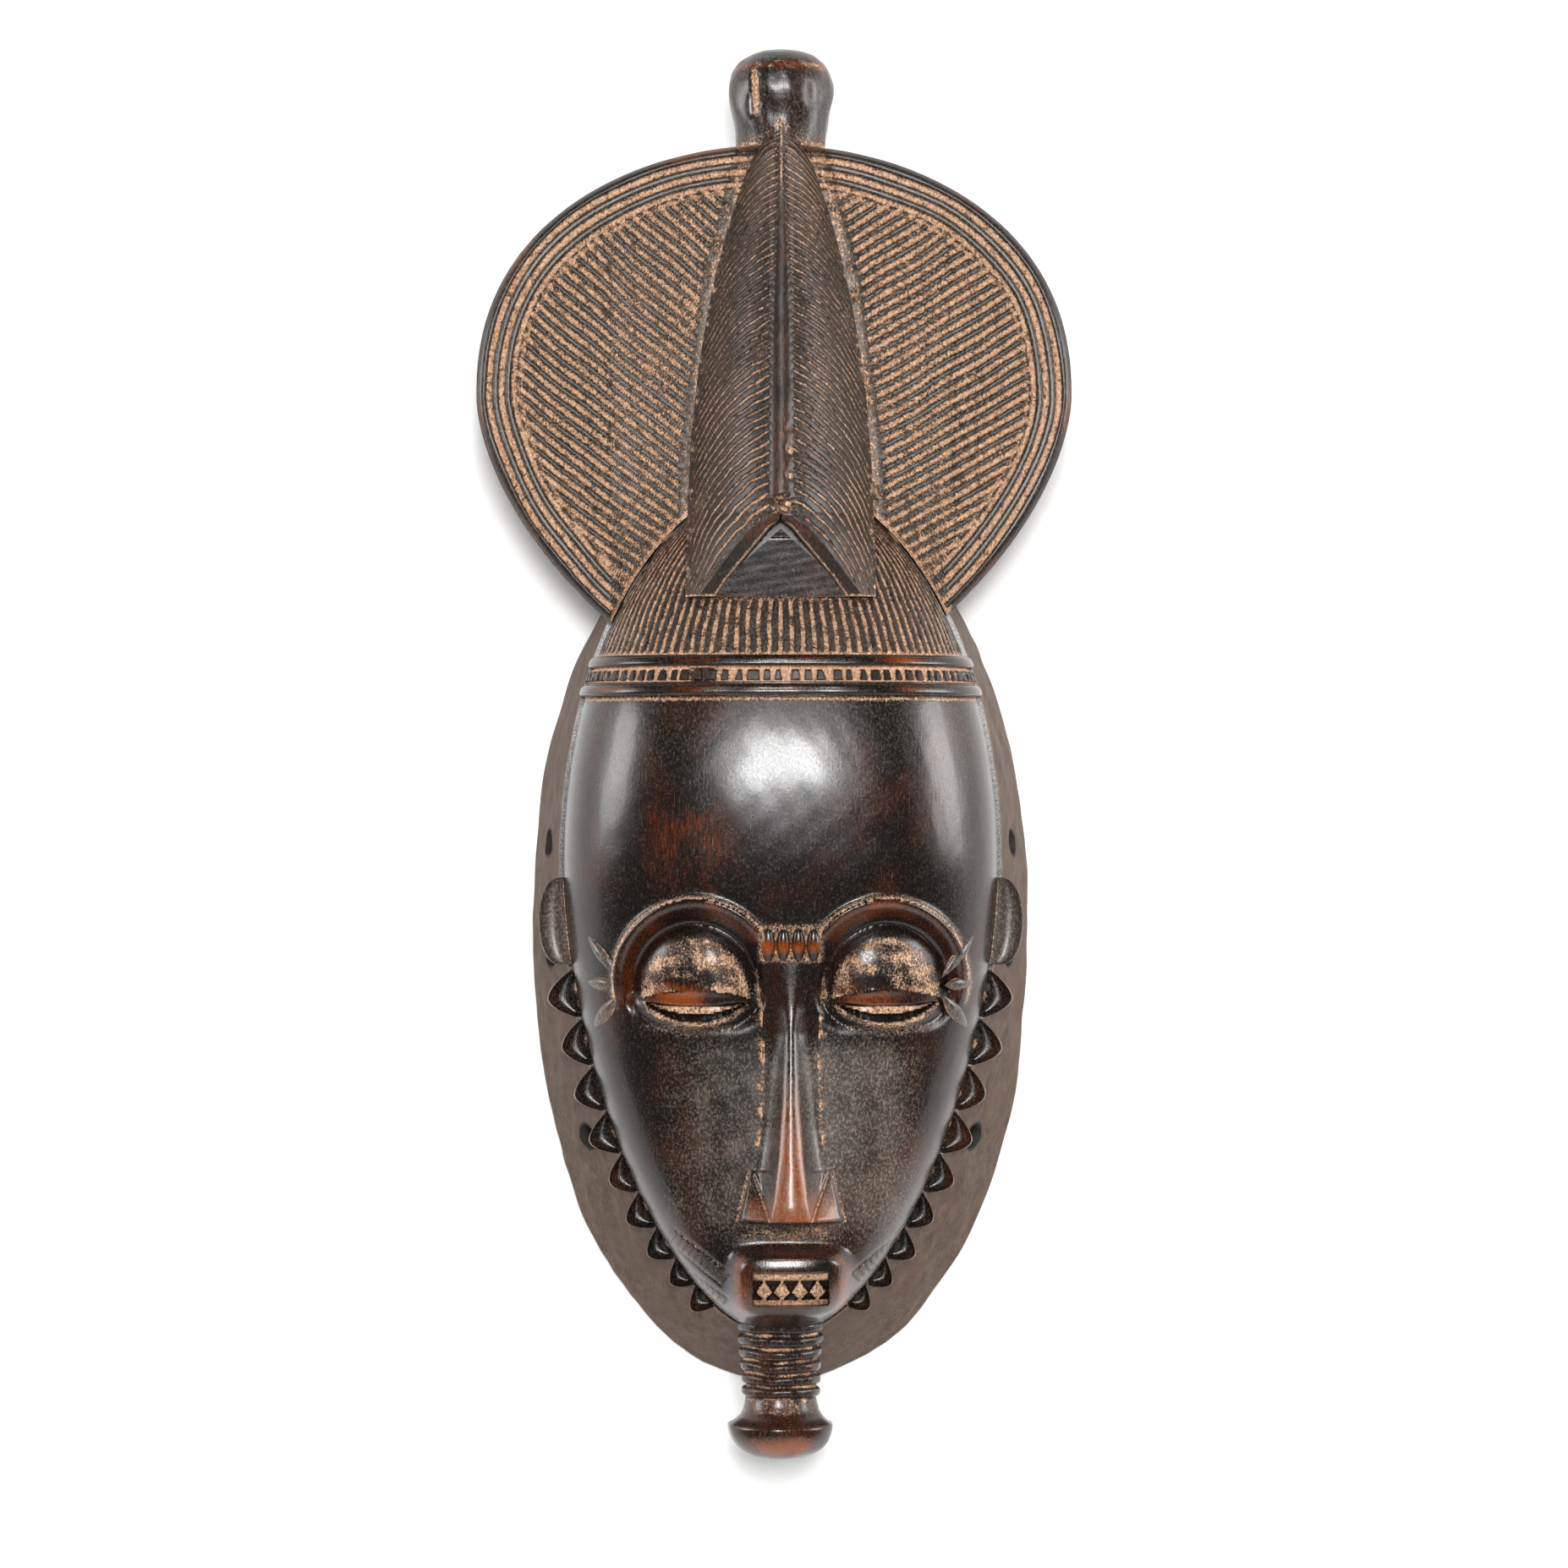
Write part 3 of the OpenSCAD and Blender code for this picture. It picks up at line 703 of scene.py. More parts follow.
@dataclass(frozen=True)
class HeadForm:
    """The plain form of the head, which every carved piece follows."""

    outline: Oval
    base: float
    height: float = 51.0
    wall: float = 10.0
    face_x: float = 3.0
    profile: Stations = ((-130, 0.7), (-116, 0.76), (-100, 0.8), (-79, 0.79), (-50, 0.8), (-17, 0.84),
                         (8, 0.93), (30, 0.99), (55, 1.0), (81, 0.91), (104, 0.73), (122, 0.56),
                         (140, 0.4), (155, 0.3))

    @classmethod
    def from_frame(cls) -> "HeadForm":
        """Takes the head's size and place from the CAD nodes.

        Returns:
            The head's form.
        """
        face, cap = Box.of("face_shell"), Box.of("hair_cap")
        oval = Oval(face.half, 25.0, cap.high + 0.4, face.low - 0.4, (2.0, 0.5), (1.7, 0.55))
        return cls(oval, face.back)

    def out(self, z: Array, grow: float = 0.0) -> Array:
        """How far the head's middle stands out from its base.

        Args:
            z: Level.
            grow: How much the head is grown all round.

        Returns:
            The middle's height over the base at each level.
        """
        above = (z - self.outline.wide) / (self.outline.top + grow - self.outline.wide)
        below = (self.outline.wide - z) / (self.outline.wide - self.outline.bottom + grow)
        up = z > self.outline.wide
        t = np.clip(np.where(up, above, below), 0.0, 1.0)
        body = self.height * curve(self.profile, z) + grow
        return body * np.sqrt(np.maximum(0.0, 1.0 - t ** np.where(up, 9.0, 20.0)))

    def cheek(self, share: Array) -> Array:
        """The share of the depth that is left at a share of the half width."""
        return np.maximum(0.0, 1.0 - np.abs(share) ** 2.6) ** 0.41

    def surface(self, share: Array, z: Array, grow: float = 0.0) -> tuple[Array, Array]:
        """x and depth at a share of the half width and a level."""
        return (self.outline.width(z, grow) * share,
                self.base + self.out(z, grow) * self.cheek(share))

    def depth_at(self, x: Array, z: Array, grow: float = 0.0) -> Array:
        """The depth over a point of the front view."""
        half = np.maximum(self.outline.width(z, grow), 0.01)
        return self.base + self.out(z, grow) * self.cheek(np.clip(x / half, -1, 1))

    @staticmethod
    def column(u: Array) -> Array:
        """Shares of the half width, closer together at the middle and at the sides."""
        w = 2.0 * u - 1.0
        return np.sin(math.pi / 2 * (0.7 * w + 0.3 * w ** 7))


@dataclass
class FaceShell:
    """The hollow face, with brows, lids, nose and mouth carved in one with it."""

    head: HeadForm
    grid: tuple[int, int, int] = (320, 272, 4)
    eye_x: float = 28.0
    arch_z: float = -9.0
    brow_r: float = 24.0
    corner_z: float = -15.0
    eye_half: float = 17.4
    nose_z: float = -79.0
    nose_h: float = 14.0
    wing_z: float = -64.6
    mouth_z: float = -98.0
    lip_half: float = 17.6
    lip_tall: float = 10.6
    lip_h: float = 6.0
    open_half: float = 11.0
    open_tall: float = 4.9
    open_deep: float = 3.6
    tooth: float = 5.2
    brow_h: float = 2.0
    socket_deep: float = 5.0
    lid_h: float = 7.0
    rung: float = 2.1
    ladders: Sequence[tuple[tuple[float, float], tuple[float, float], float]] = (
        ((19.0, -96.5), (36.0, -84.0), 2.3),
        ((19.5, -104.0), (32.0, -96.0), 2.0))
    seam: float = 81.0
    floor_z: float = -92.0

    def slits(self, x: Array, z: Array) -> tuple[Array, Array, Array]:
        """Shares of the lid's lower facet, of the crescent under it and of the dark slit.

        Args:
            x: Distance from the middle, to the right.
            z: Level.

        Returns:
            The three shares.
        """
        off = np.abs(x) - self.eye_x
        wide = np.maximum(0.0, 1.0 - (off / self.eye_half) ** 2)
        w = np.maximum(0.0, 1.0 - (off / (self.eye_half - 2.2)) ** 2)
        top, fold = self.corner_z + 3.4 * wide ** 0.8, self.corner_z - 0.9 * wide
        floor, end = self.corner_z - 3.7 * w, self.corner_z - 5.6 * w
        open_share = ramp(w, 0.01, 0.15)
        facet = ramp(z, top + 0.3, top - 0.3) * ramp(z, fold - 0.25, fold + 0.25) * ramp(wide, 0.02, 0.12)
        crescent = ramp(z, fold + 0.25, fold - 0.25) * ramp(z, floor - 0.25, floor + 0.25) * open_share
        slit = ramp(z, floor + 0.25, floor - 0.25) * ramp(z, end - 0.3, end + 0.3) * open_share
        return facet, crescent, slit

    def eyes(self, x: Array, z: Array) -> Array:
        """Height of brow arches, sockets, lids and slits.

        Args:
            x: Distance from the middle, to the right.
            z: Level.

        Returns:
            The height over the plain head.
        """
        off = np.abs(x) - self.eye_x
        r = np.hypot(off, z - self.arch_z)
        over = ramp(z, self.arch_z - 10, self.arch_z - 1)
        past = r - self.brow_r
        ridge = self.brow_h * np.where(past > 0, bump(past, 1.0), bump(past, 4.0)) * over
        ridge = ridge * (1 - (off < 0) * ramp(z, 3.0, -3.0) * ramp(np.abs(x), 9.0, 5.0))
        socket = -self.socket_deep * ramp(r, self.brow_r - 1.0, self.brow_r - 6.6) * ramp(z, -25.0, -12.0)
        lid = np.hypot(off / 18.6, (z + 14.0) / np.where(z > -14.0, 21.5, 9.5))
        dome = self.lid_h * np.maximum(0.0, 1.0 - lid ** 2.4) ** 0.7
        facet, crescent, slit = self.slits(x, z)
        wide = np.maximum(0.0, 1.0 - (off / self.eye_half) ** 2)
        under = np.clip((self.corner_z + 3.4 * wide ** 0.8 - z) / 4.2, 0.0, 1.0)
        return ridge + socket + dome - 1.7 * under * facet - 2.6 * crescent - 3.9 * slit

    def nose_lines(self, z: Array) -> tuple[Array, Array, Array]:
        """Half width of the nose's ridge and foot, and its height, at each level.

        Args:
            z: Level.

        Returns:
            Ridge, foot and height.
        """
        ridge = np.interp(z, [-79, -72, -60, -45, -24, -16, -9, 2], [5.9, 4.7, 3.5, 2.6, 2.1, 3.2, 5.6, 8.6])
        foot = np.interp(z, [-79, -66, -52, -30, -15, 2], [12.2, 10.8, 8.6, 7.8, 8.6, 10.6])
        height = np.interp(z, [-79, -74, -50, -17, -4, 4], [self.nose_h, self.nose_h, 9.4, 3.6, 1.4, 0.0])
        return ridge, foot, height

    def wing_edge(self, z: Array) -> Array:
        """The outer edge of the nostrils' wings, from the middle of the nose, at each level."""
        return lerp(11.5, 15.1, np.clip((self.wing_z - z) / (self.wing_z - self.nose_z), 0.0, 1.0))

    def wings(self, x: Array, z: Array) -> tuple[Array, Array]:
        """Height of the nostrils' wings, and the cut line along each wing's inner side.

        Args:
            x: Distance from the middle, to the right.
            z: Level.

        Returns:
            The wings' height, and the cut's share.
        """
        t = np.clip((self.wing_z - z) / (self.wing_z - self.nose_z), 0.0, 1.0)
        near, far = lerp(11.4, 6.0, t), self.wing_edge(z)
        inside = ramp(np.abs(x), far + 0.35, far - 0.35) * ramp(z, self.wing_z + 1.0, self.wing_z - 0.6)
        slope = np.clip((far - np.abs(x)) / 9.0, 0.0, 1.0)
        cut = bump(np.abs(x) - near, 0.55) * ramp(z, self.wing_z + 0.6, self.wing_z - 1.4)
        return inside * (0.5 + 4.5 * t ** 0.7 + 5.4 * slope * t), cut

    def plain(self, x: Array, z: Array) -> Array:
        """Height of everything but the mouth and the finest cuts.

        Args:
            x: Distance from the middle, to the right.
            z: Level.

        Returns:
            The height over the plain head.
        """
        eyes = self.eyes(x, z)
        ridge, foot, height = self.nose_lines(z)
        side = np.clip((np.abs(x) - ridge) / (foot - ridge), 0.0, 1.0)
        crown = 1.7 * np.clip(np.abs(x) / ridge, 0.0, 1.0) ** 2
        under = ramp(z, self.nose_z - 0.7, self.nose_z + 0.5)
        slope = (height - crown) * (1.0 - side) ** 1.35
        wing, cut = self.wings(x, z)
        body = np.maximum(slope, wing) * under
        open_side = (1.0 - side) ** 0.8 * under * (1 - ramp(z, -2.0, 6.0))
        nose = lerp(eyes, body, open_side)
        nose = np.maximum(nose, np.where(wing > 0.2, body, nose))
        lip = 1.2 * bump(x, 15.0, 4) * bump(z + 84.0, 3.4, 4)
        return nose - 1.1 * cut * under - lip

    def lips(self, x: Array, z: Array) -> Array:
        """How far a point is inside the lips' rounded block, 1 at its edge."""
        tall = np.where(z > self.mouth_z, self.lip_tall, self.lip_tall + 0.4)
        return (np.abs(x / self.lip_half) ** 4.5 + np.abs((z - self.mouth_z) / tall) ** 4.5) ** (1 / 4.5)

    def teeth(self, x: Array, z: Array) -> tuple[Array, Array]:
        """Share of the opening, and of the dark triangles in it.

        Args:
            x: Distance from the middle, to the right.
            z: Level.

        Returns:
            The two shares.
        """
        zz = z - (self.mouth_z - 0.7)
        inside = np.maximum(np.abs(x) / self.open_half, np.abs(zz) / self.open_tall)
        opening = ramp(inside, 1.03, 0.96)
        w = 2.0 * np.abs(x / self.tooth - np.round(x / self.tooth))
        upper = np.clip((zz + 1.1) / 3.4, 0, 1) * (zz < 2.5) * (zz > -1.1)
        lower = np.clip((-1.1 - zz) / 2.3, 0, 1) * (zz > -3.5) * (zz <= -1.1)
        dark = ramp(w, 0.9 * (upper + lower) + 0.06, 0.9 * (upper + lower) - 0.08) * opening
        return opening, dark * (upper + lower > 0.02)

    def cheek_cuts(self, x: Array, z: Array) -> Array:
        """The ladder bands beside the mouth.

        Args:
            x: Distance from the middle, to the right.
            z: Level.

        Returns:
            How deep the cuts are, from 0 to 1.
        """
        cuts = np.zeros_like(x)
        for start, end, tall in self.ladders:
            ax, az = start
            dx, dz = end[0] - ax, end[1] - az
            length = math.hypot(dx, dz)
            along = ((np.abs(x) - ax) * dx + (z - az) * dz) / length
            across = ((z - az) * dx - (np.abs(x) - ax) * dz) / length
            on = ramp(along, -0.6, 0.2) * ramp(along, length + 0.6, length - 0.2)
            rails = bump(np.abs(across) - tall, 0.42)
            rungs = groove(along / self.rung, 0.42) * ramp(np.abs(across), tall + 0.3, tall - 0.3)
            cuts = np.maximum(cuts, on * np.maximum(rails, rungs))
        return cuts

    def relief(self, x: Array, z: Array) -> Array:
        """Height of all the carving over the plain head.

        Args:
            x: Distance from the middle, to the right.
            z: Level.

        Returns:
            The height over the plain head.
        """
        q = self.lips(x, z)
        block = self.lip_h * (ramp(q, 1.14, 0.78) + 0.1 * ramp(q, 0.9, 0.5))
        opening, dark = self.teeth(x, z)
        band = opening * ramp(z, self.mouth_z + 1.6, self.mouth_z + 2.4)
        carved = block + band - self.open_deep * opening - 1.3 * dark
        return self.plain(x, z) + carved - 0.55 * self.cheek_cuts(x, z)

    def cavity(self, x: Array, z: Array, reach: float) -> Array:
        """How far a point lies below its surroundings.

        Args:
            x: Distance from the middle, to the right.
            z: Level.
            reach: How far off the surroundings are taken.

        Returns:
            The depth below them, less than 0 on a ridge.
        """
        here = self.plain(x, z)
        round_about = sum(self.plain(x + a, z + b) for a, b in
                          ((reach, 0), (-reach, 0), (0, reach), (0, -reach)))
        return round_about / 4.0 - here

    def dress(self, skin: Skin, x: Array, z: Array, out: Array) -> Skin:
        """Adds clay, rubbing and dust where they gather and wear, keeps clay out of the eye slits and the
        gaps between the teeth as painted shade, and raises the dust towards the right cheek as a painted
        sheen.

        Args:
            skin: The outer skin.
            x: Distance from the middle of the face.
            z: Level.
            out: How far the plain head stands out there.

        Returns:
            The same skin, dressed.
        """
        off = np.abs(x) - self.eye_x
        r = np.hypot(off, z - self.arch_z)
        over = ramp(z, self.arch_z - 12, self.arch_z - 4)
        ridge, foot, _ = self.nose_lines(z)
        facet, crescent, slit = self.slits(x, z)
        _, cut = self.wings(x, z)
        uneven = swell(x, z, 5.0, 6)
        blot = swell(x, z, 8.0, 9)
        lid = np.hypot(off / 17.8, (z + 14.0) / np.where(z > -14.0, 20.0, 9.0))
        bare = bump(off + 2.0 * np.sign(x), 6.5) * bump(z + 9.0, 6.5)
        lids = ramp(lid, 1.02, 0.84) * (0.52 + 0.10 * uneven - 0.55 * bare * (0.7 + 0.6 * blot))
        above = 1 - (off < 0) * ramp(z, 4.0, 0.0)
        past = r - self.brow_r - 0.3
        edge = 0.74 * np.where(past > 0, np.exp(-past / 1.8), 0.0) * over * above
        side = np.abs(x) - foot
        below = ramp(z, 0, -9) * ramp(z, self.nose_z - 7, self.nose_z + 2)
        beside = np.where(side > -0.2, np.exp(-np.maximum(side, 0) / 3.4), 0.0) * below * ramp(z, -62, -56)
        at_wing = bump(np.abs(x) - self.wing_edge(z) - 0.8, 1.0) * ramp(z, -60, -65)
        philtrum = bump(x, 17.5, 5) * ramp(z, self.mouth_z + 9.5, self.mouth_z + 13.5)
        philtrum = philtrum * ramp(z, self.nose_z - 0.2, self.nose_z - 1.4)
        # Clay fills the mouth's opening but not the triangles between the teeth, whose bare dark stain is
        # painted shade.
        opening, dark = self.teeth(x, z)
        clay = np.maximum.reduce([
            lids * (1 - facet), edge, 0.62 * beside * (0.85 + 0.3 * uneven),
            0.5 * at_wing * ramp(z, -81, -79), 0.60 * crescent,
            0.44 * philtrum * (0.9 + 0.2 * uneven), opening * (1 - dark) * 0.62,
            0.60 * cut * ramp(z, -79.4, -78.6), 0.42 * self.cheek_cuts(x, z),
            0.62 * bump(z - 73.9, 0.9),
            0.50 * ramp(np.maximum(np.abs(x) / 10.4, np.abs(z - 2.4) / 6.2), 1.12, 0.80),
            0.40 * ramp(lid, 1.7, 1.0) * ramp(z, -20.5, -22) * ramp(z, -34, -24),
            0.55 * ramp(out, 3.0, 0.5) * ramp(z, 15, -10)])
        sunk = ramp(self.cavity(x, z, 1.6), 0.35, 1.2) * ramp(z, 30, 15) * (1 - facet) * (r > self.brow_r)
        clay = np.maximum(clay, 0.40 * sunk)
        # Painted shade: no clay in the eye slits or in the triangles between the teeth, so the dark stain
        # there stands for the shade in those cuts.
        clay = clay * (1 - dark) * (1 - 0.9 * slit) - 0.6 * facet
        q = self.lips(x, z)
        nose = ramp(z, self.nose_z - 0.5, self.nose_z + 1)
        on_ridge = ramp(np.abs(x), ridge + 0.9, ridge - 0.3) * ramp(z, -19, -35) * nose
        tip = ramp(z, -64, -77) * ramp(np.abs(x), 15.0, 12.0) * nose
        lip_wear = ramp(q, 1.08, 0.92) * (1 - opening) * (0.35 + 0.6 * ramp(np.abs(x), 9, 15))
        arch = ramp(r, self.brow_r + 0.4, self.brow_r - 0.4) * ramp(r, self.brow_r - 6.5, self.brow_r - 4.5)
        skin.clay = clay
        skin.wear = np.maximum.reduce([
            0.85 * on_ridge * (0.35 + 0.65 * ramp(z, -25, -60)), 0.75 * tip, 0.66 * lip_wear,
            0.50 * arch * over * above,
            0.75 * facet * (0.6 + 0.5 * ramp(np.abs(off + 4.0 * np.sign(x)), 10.0, 3.0)),
            0.6 * ramp(lid, 1.0, 0.8) * bump(z + 11.0, 2.6) * (blot > -0.2),
            0.46 * bump(x + 30.0, 15.0) * bump(z - 28.0, 30.0),
            0.26 * bump(x - 34.0, 12.0) * bump(z - 40.0, 26.0),
            0.24 * bump(np.abs(x) - 38.0, 9.0) * bump(z + 62.0, 26.0)])
        tired = swell(x, z, 9.0, 5)
        cheek_dust_and_sheen = ramp(z, -22, -32) * ramp(z, -92, -74) * ramp(np.abs(x), 44, 26)
        # Painted sheen: the dust share rises towards the right cheek, which lightens that side; the rest of
        # the cheeks' share is dust.
        cheek_dust_and_sheen = cheek_dust_and_sheen * (0.55 + 0.16 * tired + 0.34 * ramp(x, 2, 10))
        skin.dust = np.maximum(cheek_dust_and_sheen, 0.16 * ramp(z, 40, 70)) + 0.05
        return skin

    def levels(self, v: Array) -> Array:
        """Levels of the rows, closer together over the carving.

        Args:
            v: Share up the grid.

        Returns:
            The level of each row.
        """
        lowest = self.head.outline.bottom + 0.4
        levels = [lowest, lowest, -114.0, -88.0, 16.0, self.seam]
        return np.interp(v, [0.0, 0.004, 0.03, 0.2, 0.8, 1.0], levels)

    def shape(self, a: Array, b: Array, layer: Array) -> Skin:
        """Places the outer and the inner skin.

        Args:
            a, b: The grid's coordinates, each from -1 to 1.
            layer: 0 on the front layer, -1 on the back layer.

        Returns:
            The skin of both layers.
        """
        u, v = halves(a, b)
        share = self.head.column(u)
        z = self.levels(v)
        x, depth = self.head.surface(share, z)
        out = depth - self.head.base
        depth = np.where(v < FIRST, self.head.base, depth)
        fx = x - self.head.face_x
        hand = 0.09 * ripple(x, depth, z, 30.0, 2) + 0.03 * ripple(x, depth, z, 6.0, 3)
        depth = depth + (self.relief(fx, z) + hand) * smooth(out / 20.0) * (v > FIRST)
        outer = self.dress(Skin.plain(x, depth, z), fx, z, out)
        iz = lerp(self.floor_z, self.seam, np.maximum(0, v - 0.02) / 0.98)
        ix, idepth = self.head.surface(share, iz, -self.head.wall)
        cuts = 0.55 * ripple(ix, idepth, iz, 11.0, 8) * smooth((idepth - self.head.base) / 6)
        inner = Skin.plain(ix, np.where(v < FIRST, self.head.base, idepth + cuts), iz)
        inner.dust = inner.dust + 0.9
        return outer.where(layer > BETWEEN, inner)

    def build(self) -> None:
        """Makes the face."""
        carve(self.shape, self.grid, "face", 50.0, Slot.FACE, "face_shell")


@dataclass
class HairCap:
    """The grooved crown over the headband."""

    head: HeadForm
    grid: tuple[int, int, int] = (480, 60, 4)
    seam: float = 81.0
    strands: float = 50.0
    cut: float = 0.75
    crest_foot: float = 104.0
    band_top: float = 87.0

    def shape(self, a: Array, b: Array, layer: Array) -> Skin:
        """Places the outer and the inner skin.

        Args:
            a, b: The grid's coordinates, each from -1 to 1.
            layer: 0 on the front layer, -1 on the back layer.

        Returns:
            The skin of both layers.
        """
        u, v = halves(a, b)
        share = self.head.column(u)
        top = self.head.outline.top
        z = np.interp(np.sin(v * math.pi / 2), [0, 1], [self.seam, top - 0.4])
        x, depth = self.head.surface(share, z)
        lines = np.arcsin(np.clip(share, -1, 1)) / math.pi * self.strands
        lines = lines + 0.10 * ripple(x, depth, z, 14.0, 21)
        under_crest = bump(z - self.crest_foot, 0.8) * (np.abs(x) < 25)
        on = ramp(z, self.band_top + 0.2, self.band_top + 1.4) * (1 - 0.9 * under_crest)
        lowest = 1 - ramp(z, self.band_top + 0.4, self.band_top + 1.6)
        deep = groove(lines, 0.62) * on
        out = depth - self.head.base
        sink = 0.9 * (1 - smooth(out / 14)) + 0.35
        nx = np.sign(share) * np.clip(np.abs(share), 0, 1) ** 3
        x = x - self.cut * deep * nx * sink
        depth = np.where(v > LAST, self.head.base, depth - self.cut * deep * smooth(out / 8.0))
        outer = Skin.plain(x, depth, z)
        ragged = 0.12 * ripple(x, depth, z, 4.0, 22)
        outer.clay = np.maximum.reduce([deep * (0.62 + ragged), 0.6 * lowest,
                                        0.66 * bump(z - self.crest_foot, 1.0) * (np.abs(x) < 25.5),
                                        0.75 * ramp(out, 6.0, 2.0) * (z > 95)])
        outer.dust = np.full(z.shape, 0.35)
        rise = np.sin(np.minimum(v, 0.985) / 0.985 * math.pi / 2)
        iz = np.interp(rise, [0, 1], [self.seam, top - self.head.wall - 0.5])
        ix, idepth = self.head.surface(share, iz, -self.head.wall)
        inner = Skin.plain(ix, np.where(v > LAST, self.head.base, idepth), iz)
        inner.dust = inner.dust + 0.9
        return outer.where(layer > BETWEEN, inner)

    def build(self) -> None:
        """Makes the cap."""
        carve(self.shape, self.grid, "hair_cap", 60.0, Slot.HAIR, "hair_cap")


@dataclass
class Headband:
    """Two plain fillets with a notched row between them."""

    head: HeadForm
    cols: int = 720
    section: int = 26
    blocks: float = 44.0
    long: float = 150.0
    face_share: float = 0.8
    sunk: float = 0.05

    def strip(self, low: float, high: float, rise: Callable[[Array, Array], Array],
              dress: Callable[[Skin, Array, Array], Skin]) -> Mesh:
        """Bends a strip round the head.

        Args:
            low, high: Its lowest and highest level.
            rise: How far its face stands out, from share along and share up.
            dress: Adds clay and rubbing, from the same shares.

        Returns:
            The closed strip.
        """
        middle = (low + high) / 2

        def shape(a: Array, b: Array, layer: Array) -> Skin:
            """Places the strip's face and back, with both ends closed.

            Args:
                a, b: The grid's coordinates, each from -1 to 1.
                layer: Not used; it is 0 everywhere, as the grid has one layer.

            Returns:
                The strip's skin.
            """
            u, v = halves(a, b)
            along = np.clip((u - 0.004) / 0.992, 0, 1)
            on_face = v <= self.face_share
            face = np.clip(v / self.face_share, 0, 1)
            back = np.clip((v - self.face_share) / (1 - self.face_share), 0, 1)
            up = np.where(on_face, face, 1 - back)
            z = lerp(low, high, up)
            share = self.head.column(along)
            stand = np.where(on_face, rise(along, face), self.sunk)
            stand = np.where((v < FIRST) | (v > LAST), self.sunk, stand)
            x, depth = self.head.surface(share, z, 0.0)
            gx, gdepth = self.head.surface(share, z, 1.0)
            length = np.maximum(np.hypot(gx - x, gdepth - depth), 1e-6)
            x, depth = x + (gx - x) / length * stand, depth + (gdepth - depth) / length * stand
            ends = (u < FIRST) | (u > LAST)
            mx, mdepth = self.head.surface(share, 0 * z + middle, 1.0)
            skin = Skin.plain(np.where(ends, mx, x), np.where(ends, mdepth, depth), np.where(ends, middle, z))
            return dress(skin, along, up)

        mesh = Mesh()
        mesh.sheet(self.cols, self.section)
        return mesh.lay(shape)

    def fillet(self, name: str, node: str, seed: int) -> None:
        """Makes one plain fillet, rubbed to a gloss.

        Args:
            name: The piece's name.
            node: The CAD node that it replaces.
            seed: Which unevenness it has.
        """
        box = Box.of(node)

        def rise(along: Array, up: Array) -> Array:
            """A round back, a little uneven."""
            hand = 0.16 * ripple(along * self.long, up * 0, up * 3, 16.0, seed)
            return 0.5 + 1.75 * np.maximum(0, 1 - np.abs(2 * up - 1) ** 3.2) ** 0.5 + hand

        def dress(skin: Skin, along: Array, up: Array) -> Skin:
            """Clay along both edges, and rubbing between them.

            Args:
                skin: The strip's skin.
                along: Share along the strip.
                up: Share up the strip.

            Returns:
                The same skin, dressed.
            """
            edge = np.maximum(ramp(up, 0.10, 0.0), ramp(up, 0.90, 1.0))
            skin.clay = edge * 0.66
            patches = ripple(along * self.long, 0 * up, 0 * up, 34.0, seed + 1)
            skin.wear = 0.45 * bump(up - 0.5, 0.5) * (0.7 + 0.5 * patches)
            skin.dust = np.full(up.shape, 0.1)
            return skin

        keep(self.strip(box.low, box.high, rise, dress).write(name, 60.0), Slot.FACE, node)

    def row(self) -> None:
        """Makes the row of small wedge-shaped blocks in clay."""
        box = Box.of("notched_row")

        def raised(along: Array, up: Array) -> Array:
            """Share of a block at a place, in three widths by turns.

            Args:
                along: Share along the strip.
                up: Share up the strip.

            Returns:
                1 on a block and 0 on the ground.
            """
            lines = np.arcsin(np.clip(self.head.column(along), -1, 1)) / math.pi * self.blocks
            lines = lines + 0.12 * ripple(along * self.long, 0 * up, 0 * up, 9.0, 44)
            w = 2 * np.abs(lines - np.round(lines))
            odd = np.round(lines).astype(int) % 3
            wide = np.where(odd == 0, 0.40, np.where(odd == 1, 0.62, 0.52))
            slope = np.where(odd == 0, 0.42, 0.20)
            tall = ramp(up, 0.86, 0.76) * ramp(up, 0.10, 0.20)
            return ramp(w, wide + slope * (0.6 - up) + 0.07, wide + slope * (0.6 - up) - 0.07) * tall

        def rise(along: Array, up: Array) -> Array:
            """The blocks over their ground."""
            return 0.45 + 1.1 * raised(along, up)

        def dress(skin: Skin, along: Array, up: Array) -> Skin:
            """Clay between the blocks, but for one worn place.

            Args:
                skin: The strip's skin.
                along: Share along the strip.
                up: Share up the strip.

            Returns:
                The same skin, dressed.
            """
            on = raised(along, np.clip(up, 0, 1))
            worn = bump(along * self.long - 47.0, 5.0)
            skin.clay = (0.7 - 0.7 * on) * (1 - 0.75 * worn)
            skin.wear = 0.2 * on
            return skin

        row = self.strip(box.low, box.high, rise, dress)
        keep(row.write("notched_row", 60.0), Slot.HAIR, "notched_row")

    def build(self) -> None:
        """Makes the three strips."""
        self.fillet("lower_fillet_strip", "lower_fillet", 31)
        self.row()
        self.fillet("upper_fillet_strip", "upper_fillet", 35)


